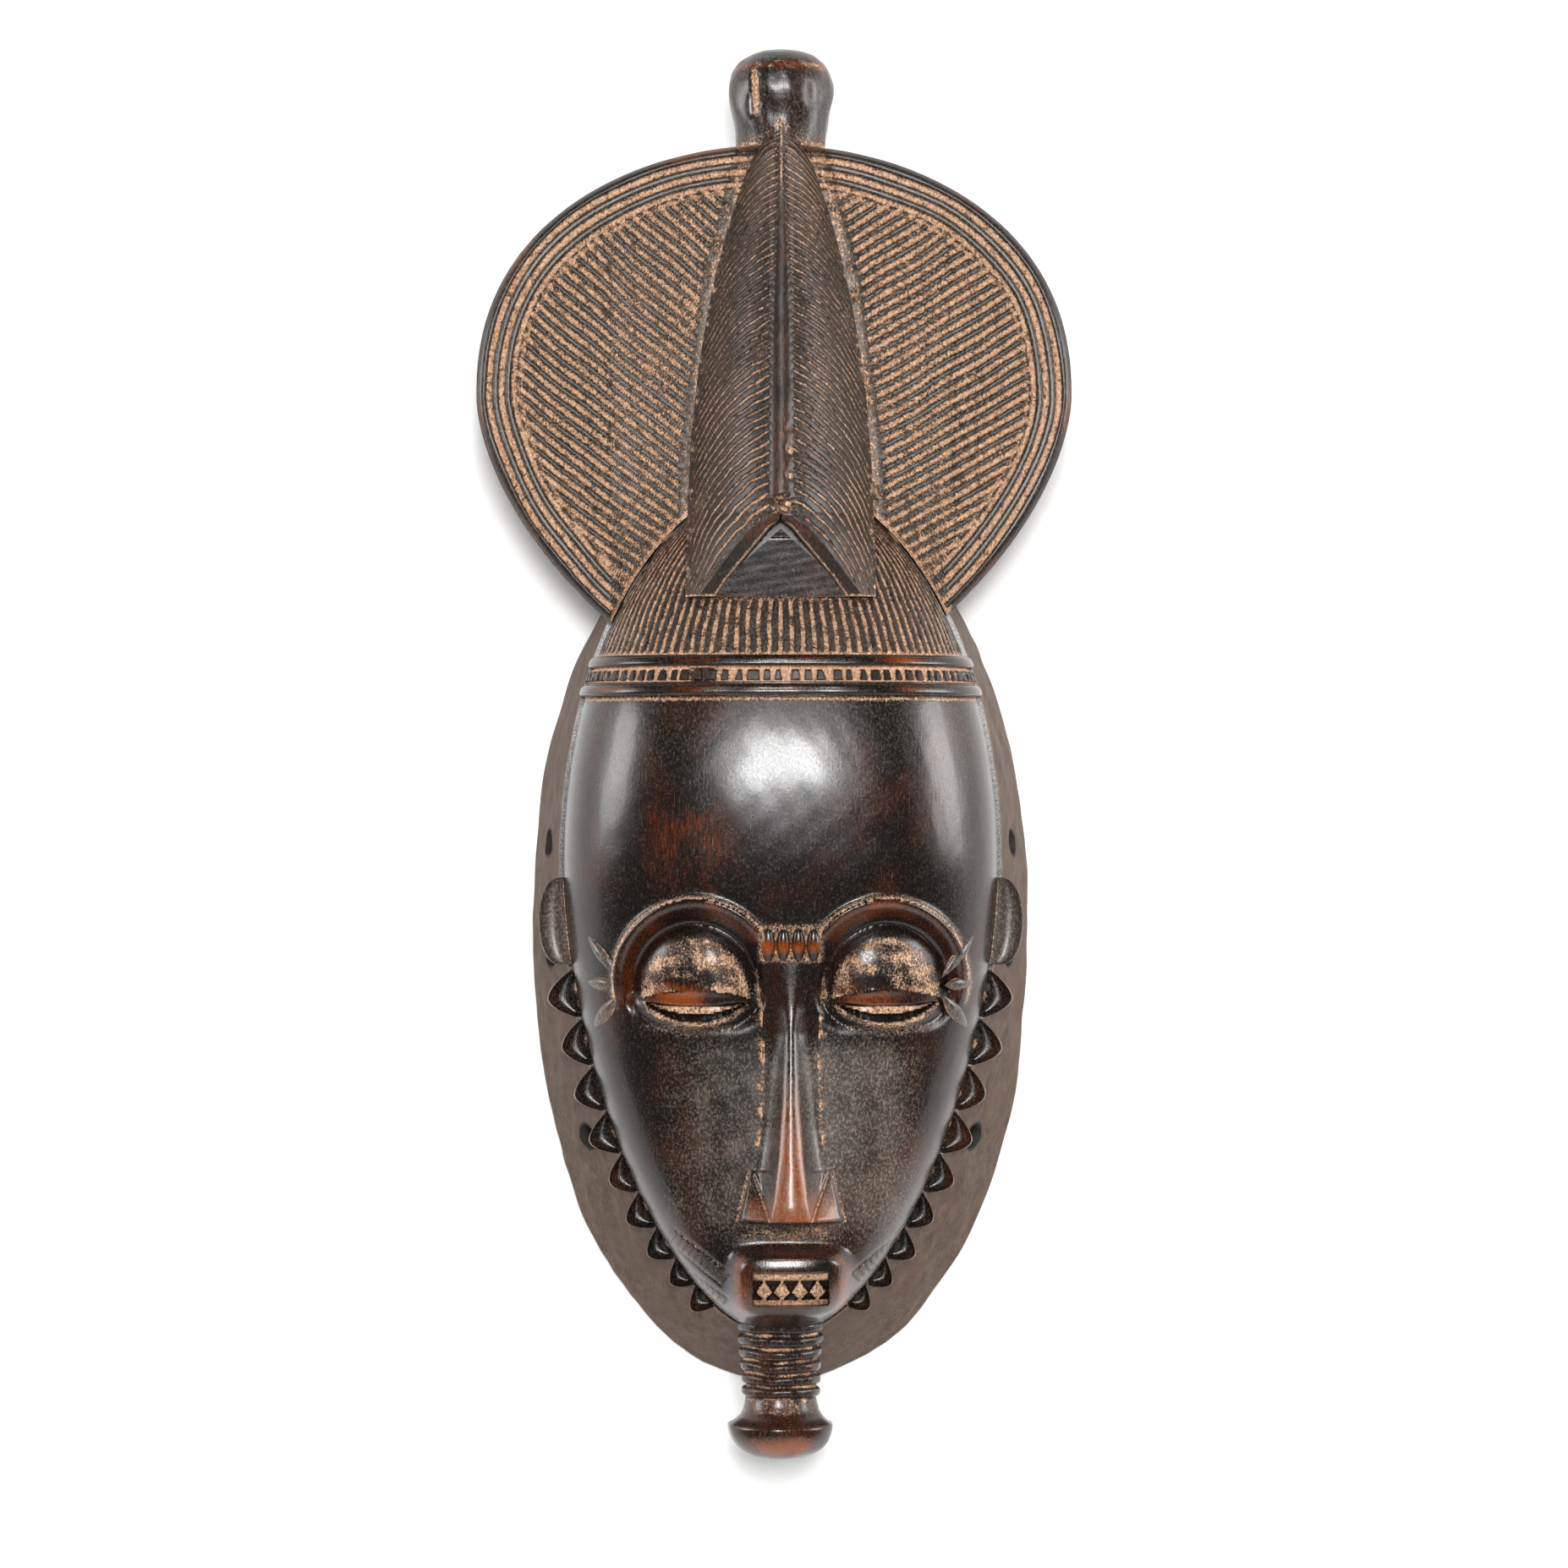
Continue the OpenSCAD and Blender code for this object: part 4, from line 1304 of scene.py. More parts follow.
@dataclass
class HairDisc:
    """The flat disc of hair, with rows of cuts and a threefold edge."""

    head: HeadForm
    grid: tuple[int, int, int] = (380, 220, 5)
    pitch: float = 3.1
    cut: float = 1.0
    wide_z: float = 165.0
    below: float = 95.0
    hatch_z: float = 170.0
    hatch_turn: tuple[float, float] = (37.5, -29.5)
    edge_cuts: Stations = ((3.9, 0.95), (7.7, 0.95), (11.4, 0.85))
    marks: int = 2400
    edge: Oval = field(init=False)
    front: float = field(init=False)
    back: float = field(init=False)
    tree: KDTree = field(init=False)

    def __post_init__(self) -> None:
        """Takes the outline from the CAD node."""
        box = Box.of("hair_disc")
        self.edge = Oval(box.half, self.wide_z, box.high, self.wide_z - self.below, (2.3, 0.5), (1.7, 0.72),
                         box.middle)
        self.front, self.back = box.front, box.back
        self.tree = KDTree(self.marks)
        px, pz = self.edge.point(np.linspace(0, 360, self.marks, endpoint=False))
        for i, (x, z) in enumerate(zip(px.tolist(), pz.tolist())):
            self.tree.insert((x, 0.0, z), i)
        self.tree.balance()

    def limits(self, x: Array) -> tuple[Array, Array]:
        """Lowest and highest level of the disc at each x.

        Args:
            x: Distance from the disc's middle.

        Returns:
            The lowest and the highest level.
        """
        off = np.abs(x - self.edge.shift) / self.edge.half
        flat = np.clip(1 - np.clip(off, 0, 1) ** (1 / self.edge.up[1]), 0, 1)
        high = self.edge.wide + (self.edge.top - self.edge.wide) * flat ** (1 / self.edge.up[0])
        flat = np.clip(1 - np.clip(off, 0, 1) ** (1 / self.edge.down[1]), 0, 1)
        low = self.edge.wide - (self.edge.wide - self.edge.bottom) * flat ** (1 / self.edge.down[0])
        oval = self.head.outline
        flat = np.clip(1 - (np.abs(x) / (oval.half + 0.05)) ** (1 / oval.up[1]), 0, 1)
        crown = oval.wide + (oval.top + 0.05 - oval.wide) * flat ** (1 / oval.up[0])
        return np.maximum(low, np.where(np.abs(x) < oval.half, crown, low)), high

    def shape(self, a: Array, b: Array, layer: Array) -> Skin:
        """Places the carved front and the plain back.

        Args:
            a, b: The grid's coordinates, each from -1 to 1.
            layer: 0 on the front layer, -1 on the back layer.

        Returns:
            The skin of both layers.
        """
        u, v = halves(a, b)
        x = self.edge.shift + self.edge.half * np.sin((2 * u - 1) * math.pi / 2)
        low, high = self.limits(x)
        z = lerp(low, high, lerp(v, 0.5 - 0.5 * np.cos(math.pi * v), 0.55))
        off = np.array([self.tree.find((p, 0.0, q))[2] for p, q in zip(x.tolist(), z.tolist())])
        uneven = 0.28 * swell(x, z, 30.0, 51)
        d = off + uneven * ramp(off, 0.5, 3.0)
        bands = np.maximum.reduce([ramp(np.abs(d - c), w + 0.45, w - 0.35) for c, w in self.edge_cuts])
        inner = ramp(d, 11.6, 12.6)
        up = z - self.hatch_z
        left, right = self.hatch_turn
        angle = np.radians(np.where(x < 0, left + 0.05 * up, right - 0.03 * up))
        across = up * np.cos(angle) + x * np.sin(angle)
        across = across + 0.26 * swell(x, z, 24.0, 52) + 0.05 * swell(x, z, 7.0, 53)
        hatch = groove(across / self.pitch, 0.78) * inner
        crest = np.interp(z, [98, 104, 150, 200, 241], [31, 30.0, 27.5, 21.0, 10.0])
        side = np.abs(x - 0.3) - crest
        valley = ramp(side, 3.4, 1.0)
        deep = np.maximum(bands, hatch * (1 - valley))
        edge_round = 2.6 * np.maximum(0, 1 - off / 2.4) ** 2.2
        hand = 0.35 * swell(x, z, 34.0, 54) * ramp(off, 0, 6)
        chips = ramp(swell(x, z, 3.4, 55), 0.75, 1.3) * (1 - deep) * inner
        depth = self.front - self.cut * deep - 0.6 * valley - edge_round + hand - 0.5 * chips
        front = Skin.plain(x, depth, z)
        ragged = 0.10 * swell(x, z, 3.0, 56)
        crown = ramp(z - low, 3.2, 1.2) * (np.abs(x) < 51) * (z < 150)
        front.clay = np.maximum.reduce([(0.66 + ragged) * deep, (0.46 + ragged) * valley, 0.62 * crown,
                                        (0.50 + ragged) * ramp(np.abs(d - 13.4), 1.2, 0.4), 0.5 * chips])
        front.clay = np.maximum(front.clay, 0.22 * inner * (0.9 + 0.5 * swell(x, z, 18.0, 57)))
        front.wear = 0.5 * ramp(off, 4.0, 0.5) * (0.4 + 0.6 * swell(x, z, 40.0, 58)) * (1 - bands)
        front.dust = np.full(z.shape, 0.45) * ramp(off, 1.0, 4.0) + 0.1
        wob = 0.5 * swell(x, z, 15.0, 59)
        back = Skin.plain(x, self.back + 0.05 + np.maximum(0, 0.6 - off / 3) + np.maximum(0, wob), z)
        back.dust = back.dust + 0.9
        return front.where(layer > BETWEEN, back)

    def build(self) -> None:
        """Makes the disc."""
        carve(self.shape, self.grid, "hair_disc_carved", 60.0, Slot.HAIR, "hair_disc")


@dataclass
class Crest:
    """The roof-shaped crest, with feather-like cuts on both slopes and a hollow gable."""

    head: HeadForm
    grid: tuple[int, int, int] = (190, 440, 5)
    foot: float = 104.0
    tip: float = 246.5
    gable: float = 130.0
    pitch: float = 3.9
    cut: float = 0.75
    low_rise: float = 44.0
    high_rise: float = 15.5
    eaves: float = 3.5
    half: float = field(init=False)
    back: float = field(init=False)
    panel: float = field(init=False)
    end: float = field(init=False)

    def __post_init__(self) -> None:
        """Takes the widths and depths from the CAD nodes."""
        box, panel, disc = Box.of("crest"), Box.of("gable_panel"), Box.of("hair_disc")
        self.half, self.back = box.half, disc.front
        self.panel, self.end = panel.front, box.high

    def width(self, z: Array) -> Array:
        """Half the width of the crest at a level.

        Args:
            z: Level.

        Returns:
            Half the width at each level.
        """
        share = np.clip((z - self.foot) / (self.end - self.foot), 0, 1)
        plain = lerp(self.half, 8.0, share ** 2.6)
        t = np.clip((z - self.end + 6) / (self.tip - self.end + 6), 0, 1)
        return plain * np.maximum(0.02, 1 - t ** 1.7)

    def roof(self, x: Array, z: Array) -> tuple[Array, Array, Array]:
        """Depth of the slopes, share across, and depth of the gable's plane.

        Args:
            x: Distance from the middle, to the right.
            z: Level.

        Returns:
            The slopes' depth, the share across and the gable's depth.
        """
        share = np.clip((z - self.foot) / (self.end - self.foot), 0, 1)
        half = self.width(z)
        ridge = self.back + lerp(self.low_rise, self.high_rise, share ** 1.25)
        foot = np.maximum(self.back + 0.5, self.head.depth_at(half, z) + self.eaves)
        s = np.clip(np.abs(x) / np.maximum(half, 0.05), 0, 1)
        slope = lerp(ridge - 1.3 * np.clip(np.abs(x - 0.3) / 3.6, 0, 1) ** 2, foot, s ** 2.2)
        over = 44.4 + np.sqrt(np.maximum(0.0, 184.0 - x * x))
        slope = lerp(slope, over - 0.5 * s, ramp(z, 232, 239))
        low = self.head.depth_at(0 * x, 0 * z + self.foot) + 0.3 + self.eaves
        apex = (self.gable - self.foot) / (self.end - self.foot)
        top = self.back + lerp(self.low_rise, self.high_rise, apex ** 1.25)
        end = lerp(low, top, (z - self.foot) / (self.gable - self.foot))
        return slope, s, end

    def shape(self, a: Array, b: Array, layer: Array) -> Skin:
        """Places the carved slopes, the gable and the seat.

        Args:
            a, b: The grid's coordinates, each from -1 to 1.
            layer: 0 on the front layer, -1 on the back layer.

        Returns:
            The skin of both layers.
        """
        u, v = halves(a, b)
        z = np.interp(v, [0, 0.28, 1], [self.foot, 133.0, self.tip])
        half = self.width(z)
        x = half * np.sin((2 * u - 1) * math.pi / 2) * 0.35 + half * (2 * u - 1) * 0.65
        slope, s, end = self.roof(x, z)
        on_gable = end < slope
        gap = slope - end
        steep = 0.62 * np.abs(x) + 2.6 * half * s ** 3.4 / 3.4
        hand = 0.16 * swell(x, z, 20.0, 61) + 0.06 * swell(x, z, 6.0, 60)
        pitch = self.pitch * np.interp(z, [130, 245], [1.0, 0.8])
        feather = groove((z + steep + 1.8 * (x > 0)) / pitch + hand, 0.36)
        ridge_half = np.interp(z, [128, 160, 190, 222, 246], [3.1, 2.9, 2.2, 0.7, 0.3])
        clear = ramp(np.abs(x - 0.3), ridge_half, ridge_half + 0.9)
        deep = feather * clear * (1 - on_gable) * ramp(-gap, 0.3, 1.5) * (1 - 0.45 * ramp(s, 0.86, 1.0))
        depth = np.where(on_gable, end, slope) - self.cut * deep
        wall = np.interp(z, [self.foot, 109, 124.2, 126.2], [19.2, 15.9, 3.0, 0.0])
        hollow = ramp(np.abs(x), wall + 0.15, wall - 0.25) * (z < 127.4) * on_gable
        depth = lerp(depth, np.minimum(depth, self.panel - 2.1), hollow)
        chip = bump(x - 1.2, 4.2, 4) * bump(z - 130.6, 2.6, 4) * (0.6 + 0.6 * swell(x, z, 2.4, 64))
        nick = bump(x - 3.0, 1.3) * (bump(z - 146.5, 1.6) + bump(z - 139.0, 1.4) + 0.7 * bump(z - 153.0, 1.3))
        depth = depth - 1.1 * np.clip(chip, 0, 1) - 0.7 * nick + 0.12 * swell(x, z, 9.0, 65)
        front = Skin.plain(x, depth, z)
        ragged = 0.2 * swell(x, z, 3.2, 62)
        faded = 0.24 * swell(x, z, 24.0, 63)
        line = bump(np.abs(x) - wall - 0.3, 0.75) * on_gable * (z < 125.5)
        at_edge = ramp(s, 0.86, 1.0) * (1 - on_gable)
        front.clay = np.maximum.reduce([
            (0.66 + 0.5 * ragged + 0.6 * faded) * deep, (0.36 + ragged) * at_edge, 0.66 * line,
            0.7 * np.clip(chip, 0, 1), 0.7 * nick, 0.62 * bump(z - self.foot, 1.0),
            (0.5 + ragged) * ramp(z, 238, 244), 0.55 * bump(x - 0.2, 0.7) * ramp(z, 218, 226),
            0.20 * (1 - on_gable) * (0.8 + 0.7 * swell(x, z, 14.0, 66)) * clear])
        on_ridge = ramp(np.abs(x - 0.3), ridge_half + 1.2, ridge_half * 0.7) * ramp(z, 222, 208)
        on_ridge = on_ridge * (1 - on_gable)
        on_lip = on_gable * ramp(gap, 3.5, 0.8) * ramp(np.abs(x), 24, 6)
        front.wear = np.maximum(0.44 * on_ridge, 0.45 * on_lip)
        front.clay = front.clay * (1 - 0.8 * on_ridge * (nick < 0.3) * (chip < 0.3))
        front.dust = np.where(on_gable, 0.12, 0.28 * (1 - on_ridge))
        seat = np.maximum(self.back + 0.05, self.head.depth_at(x, z) + 0.05)
        seat = np.where(z > self.end, np.minimum(seat + 6.0, self.back + 9.0), seat)
        return front.where(layer > BETWEEN, Skin.plain(x, np.minimum(seat, depth - 0.4), z))

    def build(self) -> None:
        """Makes the crest."""
        carve(self.shape, self.grid, "crest_carved", 50.0, Slot.CREST, "crest")


@dataclass
class GablePanel:
    """The dark three-cornered panel in the gable, a little nearer at its top."""

    grid: tuple[int, int, int] = (120, 90, 3)
    sunk: float = 1.75
    lean: float = 2.3
    line_z: float = 121.6

    def shape(self, a: Array, b: Array, layer: Array) -> Skin:
        """Places the front, with its cut line, and the flat back.

        Args:
            a, b: The grid's coordinates, each from -1 to 1.
            layer: 0 on the front layer, -1 on the back layer.

        Returns:
            The skin of both layers.
        """
        box = Box.of("gable_panel")
        u, v = halves(a, b)
        z = lerp(box.low, box.high - 0.05, v)
        half = box.half * (1 - v) + 0.02
        x = half * (2 * u - 1)
        lean = lerp(0.0, self.lean, v) + 0.02 * swell(0.3 * x, z, 3.0, 67)
        line = bump(z - self.line_z, 0.45)
        front = Skin.plain(x, box.front - self.sunk + lean - 0.35 * line, z)
        front.clay = 0.42 * line + 0.34 * ramp(v, 0.16, 0.0)
        front.dust = 0.1 * swell(0.3 * x, z, 6.0, 68)
        return front.where(layer > BETWEEN, Skin.plain(x, 0 * x + box.back, z))

    def build(self) -> None:
        """Makes the panel."""
        carve(self.shape, self.grid, "panel", 50.0, Slot.DARK, "gable_panel")


@dataclass
class Rim:
    """The flared back rim, adzed and left without polish, with six lacing holes."""

    head: HeadForm
    around: int = 600
    section: int = 60
    wall: float = 9.0
    step: float = 1.5
    hole: float = 4.0
    drill_long: float = 30.0

    def shape(self, a: Array, b: Array, layer: Array) -> Skin:
        """Places the flared wall: outer face, front edge, inner face and back edge.

        Args:
            a, b: The grid's coordinates, each from -1 to 1.
            layer: Not used; it is 0 everywhere, as the grid has one layer.

        Returns:
            The wall's skin.
        """
        box = Box.of("rim_wall")
        rim = Oval(box.half, 12.0, box.high, box.low, (2.0, 0.5), (2.4, 0.5))
        u, v = halves(a, b)
        angle = 360 * np.where(u > LAST, 0.0, u)
        w = np.where(v > LAST, 0.0, v)
        deep = np.interp(w, [0, 0.03, 0.55, 0.60, 0.64, 0.94, 0.97, 1], [0, 0.02, 1, 1, 1, 0.02, 0, 0])
        inner = np.interp(w, [0, 0.03, 0.55, 0.60, 0.64, 0.94, 0.97, 1], [0.10, 0, 0, 0.5, 1, 1, 0.9, 0.10])
        ox, oz = rim.point(angle)
        ix, iz = rim.point(angle, -self.wall)
        hx, hz = self.head.outline.point(angle, self.step)
        jx, jz = self.head.outline.point(angle, -self.head.wall)
        x = lerp(lerp(ox, hx, deep), lerp(ix, jx, deep), inner)
        z = lerp(lerp(oz, hz, deep), lerp(iz, jz, deep), inner)
        nx, nz = rim.outward(angle)
        cut = 0.42 * ripple(x, deep * 28, z, 19.0, 71) + 0.20 * ripple(x, deep * 28, z, 6.5, 72)
        cut = np.where(inner > 0.5, -cut, cut) * np.sin(math.pi * np.clip(w / 0.6, 0, 1)) ** 0.5 * (w < 0.6)
        cut = cut + 0.5 * ripple(x, deep * 28, z, 12.0, 73) * (w >= 0.64) * (w < 0.94)
        edge = 0.35 * ripple(ox, 0 * ox, oz, 48.0, 74) * (1 - deep)
        depth = box.front * deep
        skin = Skin.plain(x + nx * (cut + edge), depth, z + nz * (cut + edge))
        skin.clay = 0.55 * ramp(deep, 0.80, 1.0) * (w < 0.6)
        # Painted shade: the wear share darkens the rim's inner face, most on the inner side of its front edge
        # where it meets the head.
        skin.wear = 0.65 * ramp(deep, 0.90, 1.0) * (inner > 0.5) + 0.4 * (w > 0.64) * (w < 0.94)
        return skin

    @staticmethod
    def bores() -> list[tuple[Vector, Vector]]:
        """Place and direction of each lacing hole, in metres, from the record."""
        mounts = [mount for mount in frame["record"]["mounts"] if mount["kind"] == "bore"]
        return [(Vector(mount["pos_m"]), Vector(mount["axis"])) for mount in mounts]

    def drill(self, obj: bpy.types.Object) -> None:
        """Cuts the lacing holes.

        Args:
            obj: The rim, before it is kept.
        """
        mesh = Mesh()
        for place, axis in self.bores():
            turn = axis.to_track_quat("Z", "Y").to_matrix().to_4x4()
            bmesh.ops.create_cone(mesh.bm, cap_ends=True, segments=40, radius1=self.hole * MM,
                                  radius2=self.hole * MM, depth=self.drill_long * MM,
                                  matrix=Matrix.Translation(place) @ turn)
        cutter = mesh.lay(lambda x, y, z: Skin.plain(x / MM, -y / MM, z / MM)).write("drill")
        hole = obj.modifiers.new("holes", "BOOLEAN")
        hole.operation, hole.solver, hole.object = "DIFFERENCE", "EXACT", cutter
        graph = bpy.context.evaluated_depsgraph_get()
        cut = bpy.data.meshes.new_from_object(obj.evaluated_get(graph))
        obj.modifiers.clear()
        obj.data = cut
        bpy.data.objects.remove(cutter)
        self.paint_hole_shade(cut)

    def paint_hole_shade(self, mesh: bpy.types.Mesh) -> None:
        """Paints shade on the holes' walls and mouths: their wear share is set to full, which the rim's
        finish turns near black, and their clay is taken off.

        Args:
            mesh: The drilled rim.
        """
        points = np.zeros(len(mesh.vertices) * 3)
        mesh.vertices.foreach_get("co", points)
        near = np.zeros(len(mesh.vertices))
        for place, axis in self.bores():
            off = np.linalg.norm(np.cross(points.reshape(-1, 3) - np.array(place), axis), axis=1) / MM
            near = np.maximum(near, ramp(off, self.hole + 1.3, self.hole + 0.2))
        # Painted shade in the holes: full wear share and no clay.
        for name, share in (("wear", 1.0), ("clay", 0.0)):
            values = np.zeros(len(mesh.vertices))
            mesh.attributes[name].data.foreach_get("value", values)
            mesh.attributes[name].data.foreach_set("value", lerp(values, share, near))

    def build(self) -> None:
        """Makes the rim."""
        mesh = Mesh()
        mesh.sheet(self.around, self.section)
        obj = mesh.lay(self.shape).write("rim", 50.0)
        self.drill(obj)
        keep(obj, Slot.RIM, "rim_wall")


@dataclass
class ToothCollar:
    """The collar plate with scooped teeth along the jaw."""

    head: HeadForm
    around: int = 1300
    section: int = 30
    teeth: int = 9
    first: float = 106.0
    last: float = 156.0
    length: float = 7.6
    step: float = 1.5

    def shape(self, a: Array, b: Array, layer: Array) -> Skin:
        """Places the plate: front, outer edge, back and inner edge.

        Args:
            a, b: The grid's coordinates, each from -1 to 1.
            layer: Not used; it is 0 everywhere, as the grid has one layer.

        Returns:
            The plate's skin.
        """
        box = Box.of("tooth_collar")
        u, v = halves(a, b)
        u = np.where(u > LAST, 0.0, u)
        w = np.where(v > LAST, 0.0, v)
        angle = np.interp(u, [0, 0.07, 0.45, 0.5, 0.55, 0.93, 1], [0, 101, 161, 180, 199, 259, 360])
        mirrored = np.minimum(angle, 360 - angle)
        place = (mirrored - self.first) / (self.last - self.first) * (self.teeth - 1)
        near = np.clip(np.round(place), 0, self.teeth - 1)
        off = np.abs(place - near) * 2
        size = 1.0 - 0.28 * near / (self.teeth - 1) + 0.06 * np.sin(near * 2.3 + (angle > 180) * 1.7)
        tooth = np.clip(1 - np.clip(off / 0.93, 0, 1) ** 1.75, 0, 1) * self.length * size
        out = np.interp(w, [0, 0.55, 0.62, 0.80, 0.88, 1], [0, 1, 1, 1, 0, 0])
        deep = np.interp(w, [0, 0.55, 0.60, 0.80, 0.92, 1], [1, 1, 0.1, 0.05, 0.05, 1])
        hx, hz = self.head.outline.point(angle, self.step)
        jx, jz = self.head.outline.point(angle, -self.head.wall)
        nx, nz = self.head.outline.outward(angle, self.step)
        sx, sz = self.head.outline.point(angle, -1.5)
        reach = np.clip((out - 0.35) / 0.65, 0, 1)
        inner = np.clip(out / 0.35, 0, 1)
        x = np.where(out < 0.35, lerp(jx, sx, inner), lerp(sx, hx + nx * tooth, reach))
        z = np.where(out < 0.35, lerp(jz, sz, inner), lerp(sz, hz + nz * tooth, reach))
        bowl = np.sin(math.pi * np.clip((reach - 0.12) / 0.84, 0, 1)) ** 0.8
        scoop = smooth(tooth / 3.0) * bowl * (w <= 0.55)
        depth = lerp(box.back, box.front, deep) - 2.5 * scoop
        skin = Skin.plain(x, depth, z)
        on_front = w <= 0.56
        root = ramp(reach, 0.42, 0.15) * on_front
        skin.clay = 0.55 * root * (0.7 + 0.5 * ripple(x, depth, z, 4.0, 81)) * (mirrored > 80)
        skin.wear = 0.30 * ramp(reach, 0.5, 0.8) * on_front * (tooth > 2)
        # Painted highlight: a pale clay line along each tooth's outer edge stands for the light caught on
        # that edge.
        skin.clay = np.maximum(skin.clay, 0.62 * ramp(reach, 0.95, 1.0) * (tooth > 1) * (w < 0.60))
        skin.dust = np.full(z.shape, 0.2)
        return skin

    def build(self) -> None:
        """Makes the collar."""
        mesh = Mesh()
        mesh.sheet(self.around, self.section)
        keep(mesh.lay(self.shape).write("collar", 55.0), Slot.DARK, "tooth_collar")


@dataclass
class Ear:
    """A half-moon ear, hollowed on its front."""

    head: HeadForm
    side: int
    grid: tuple[int, int, int] = (36, 72, 2)

    def shape(self, a: Array, b: Array, layer: Array) -> Skin:
        """Places the hollowed front and the flat back.

        Args:
            a, b: The grid's coordinates, each from -1 to 1.
            layer: 0 on the front layer, -1 on the back layer.

        Returns:
            The skin of both layers.
        """
        box = Box.of(sided(self.side, "ear"))
        u, v = halves(a, b)
        middle, tall = (box.low + box.high) / 2, (box.high - box.low) / 2
        turn = (v - 0.5) * math.pi
        z = middle + tall * np.sin(turn)
        inner = self.head.outline.width(z, 0.05)
        foot = self.head.outline.width(middle + 0 * z, 1.5)
        reach = (self.side * box.left if self.side < 0 else box.right) - foot
        outer = foot + reach * np.abs(np.cos(turn)) ** 0.8
        x = lerp(inner, np.maximum(outer, inner + 0.02), u)
        bowl = np.sin(math.pi * np.clip((u - 0.05) / 0.90, 0, 1)) ** 0.8 * np.maximum(np.cos(turn), 0) ** 0.6
        lip = 0.6 * ramp(u, 0.80, 0.97)
        front = Skin.plain(self.side * x, box.front - 0.6 - 1.7 * bowl + lip, z)
        front.wear = 0.35 * ramp(u, 0.90, 1.0)
        front.clay = 0.55 * ramp(u, 0.16, 0.0) + 0.25 * ramp(u, 0.94, 1.0)
        front.dust = np.full(z.shape, 0.9)
        rounded = 0.5 * ramp(u, 0.9, 1.0)
        back = Skin.plain(self.side * (x - rounded), 0 * x + box.back, z)
        return front.where(layer > BETWEEN, back)

    def build(self) -> None:
        """Makes the ear."""
        node = sided(self.side, "ear")
        carve(self.shape, self.grid, node + "_carved", 50.0, Slot.DARK, node)


@dataclass
class BrowMarks:
    """Four tall beads side by side between the brows."""

    head: HeadForm
    count: int = 4
    pitch: float = 4.4
    proud: float = 2.1

    def build(self) -> None:
        """Makes the beads."""
        box = Box.of("brow_marks")
        middle, tall = (box.low + box.high) / 2, (box.high - box.low) / 2 + 0.4
        mesh = Mesh()
        mesh.balls(self.count, 40, 28)

        def shape(x: Array, y: Array, z: Array) -> Skin:
            """Draws each ball out into a tall bead that lies on the head.

            Args:
                x, y, z: The coordinates of a row of unit balls.

            Returns:
                The beads' skin.
            """
            bead = np.round(x / APART)
            bx = x - APART * bead
            taper = 1.0 - 0.55 * np.abs(z) ** 1.6
            ring = np.maximum(np.hypot(bx, y), 1e-6)
            full = np.maximum(np.sqrt(np.maximum(0, 1 - z * z)), 1e-6)
            scale = taper * np.minimum(1, 1.18 * full ** 0.45)
            axis = box.middle + (bead - (self.count - 1) / 2) * self.pitch
            px = axis + bx / ring * scale * (self.pitch / 2 - 0.12)
            pz = middle + tall * z * (1 - 0.04 * (bead % 2))
            surface = self.head.depth_at(px, pz)
            depth = surface + 0.5 + np.maximum(-2.4, -y / ring * scale * self.proud)
            skin = Skin.plain(np.where(full < 1e-3, axis, px), depth, pz)
            skin.wear = 0.9 * bump(z + 0.12, 0.6, 2) * (y < 0)
            skin.clay = 0.45 * ramp(np.abs(z), 0.80, 1.0) * (y < 0)
            return skin

        keep(mesh.lay(shape).write("brow_beads", 60.0), Slot.MARK, "brow_marks")


@dataclass
class TempleMarks:
    """Three raised leaves that fan out from the eye's outer corner."""

    head: HeadForm
    side: int
    leaves: Sequence[tuple[tuple[float, float], tuple[float, float], float]] = (
        ((47.6, -8.0), (57.2, 4.6), 1.5),
        ((48.4, -10.4), (57.4, -9.6), 2.0),
        ((47.8, -13.2), (55.4, -23.4), 1.9))

    def build(self) -> None:
        """Makes the leaves."""
        node = sided(self.side, "temple_marks")
        mesh = Mesh()
        mesh.balls(len(self.leaves), 48, 32)

        def shape(x: Array, y: Array, z: Array) -> Skin:
            """Draws each ball out into a leaf that lies on the head.

            Args:
                x, y, z: The coordinates of a row of unit balls.

            Returns:
                The leaves' skin.
            """
            leaf = np.round(x / APART).astype(int)
            bx = x - APART * leaf
            start = np.array([s for s, _, _ in self.leaves])[leaf]
            end = np.array([e for _, e, _ in self.leaves])[leaf]
            wide = np.array([w for _, _, w in self.leaves])[leaf]
            middle, way = (start + end) / 2, (end - start) / 2
            length = np.hypot(way[:, 0], way[:, 1])
            across = np.stack([-way[:, 1], way[:, 0]], axis=1) / length[:, None]
            taper = np.maximum(0, 1 - np.abs(z) ** 1.9)
            ring = np.maximum(np.hypot(bx, y), 1e-6)
            place = middle + way * z[:, None] + across * (bx / ring * taper * wide)[:, None]
            share = np.clip(place[:, 0] / self.head.outline.width(place[:, 1]), 0, 0.9999)
            sx, depth = self.head.surface(share, place[:, 1])
            gx, gdepth = self.head.surface(share, place[:, 1], 1.0)
            stand = np.maximum(-1.5, -y / ring * taper * 1.5) - 0.15
            skin = Skin.plain(self.side * lerp(sx, gx, stand), lerp(depth, gdepth, stand), place[:, 1])
            skin.wear = 0.1 * (y < 0) * bump(bx, 0.5)
            skin.clay = 0.6 * ramp(np.abs(bx) / ring, 0.86, 1.0) * (y < 0.3)
            skin.dust = np.full(z.shape, 0.9)
            return skin

        keep(mesh.lay(shape).write(node + "_carved", 60.0), Slot.MARK, node)


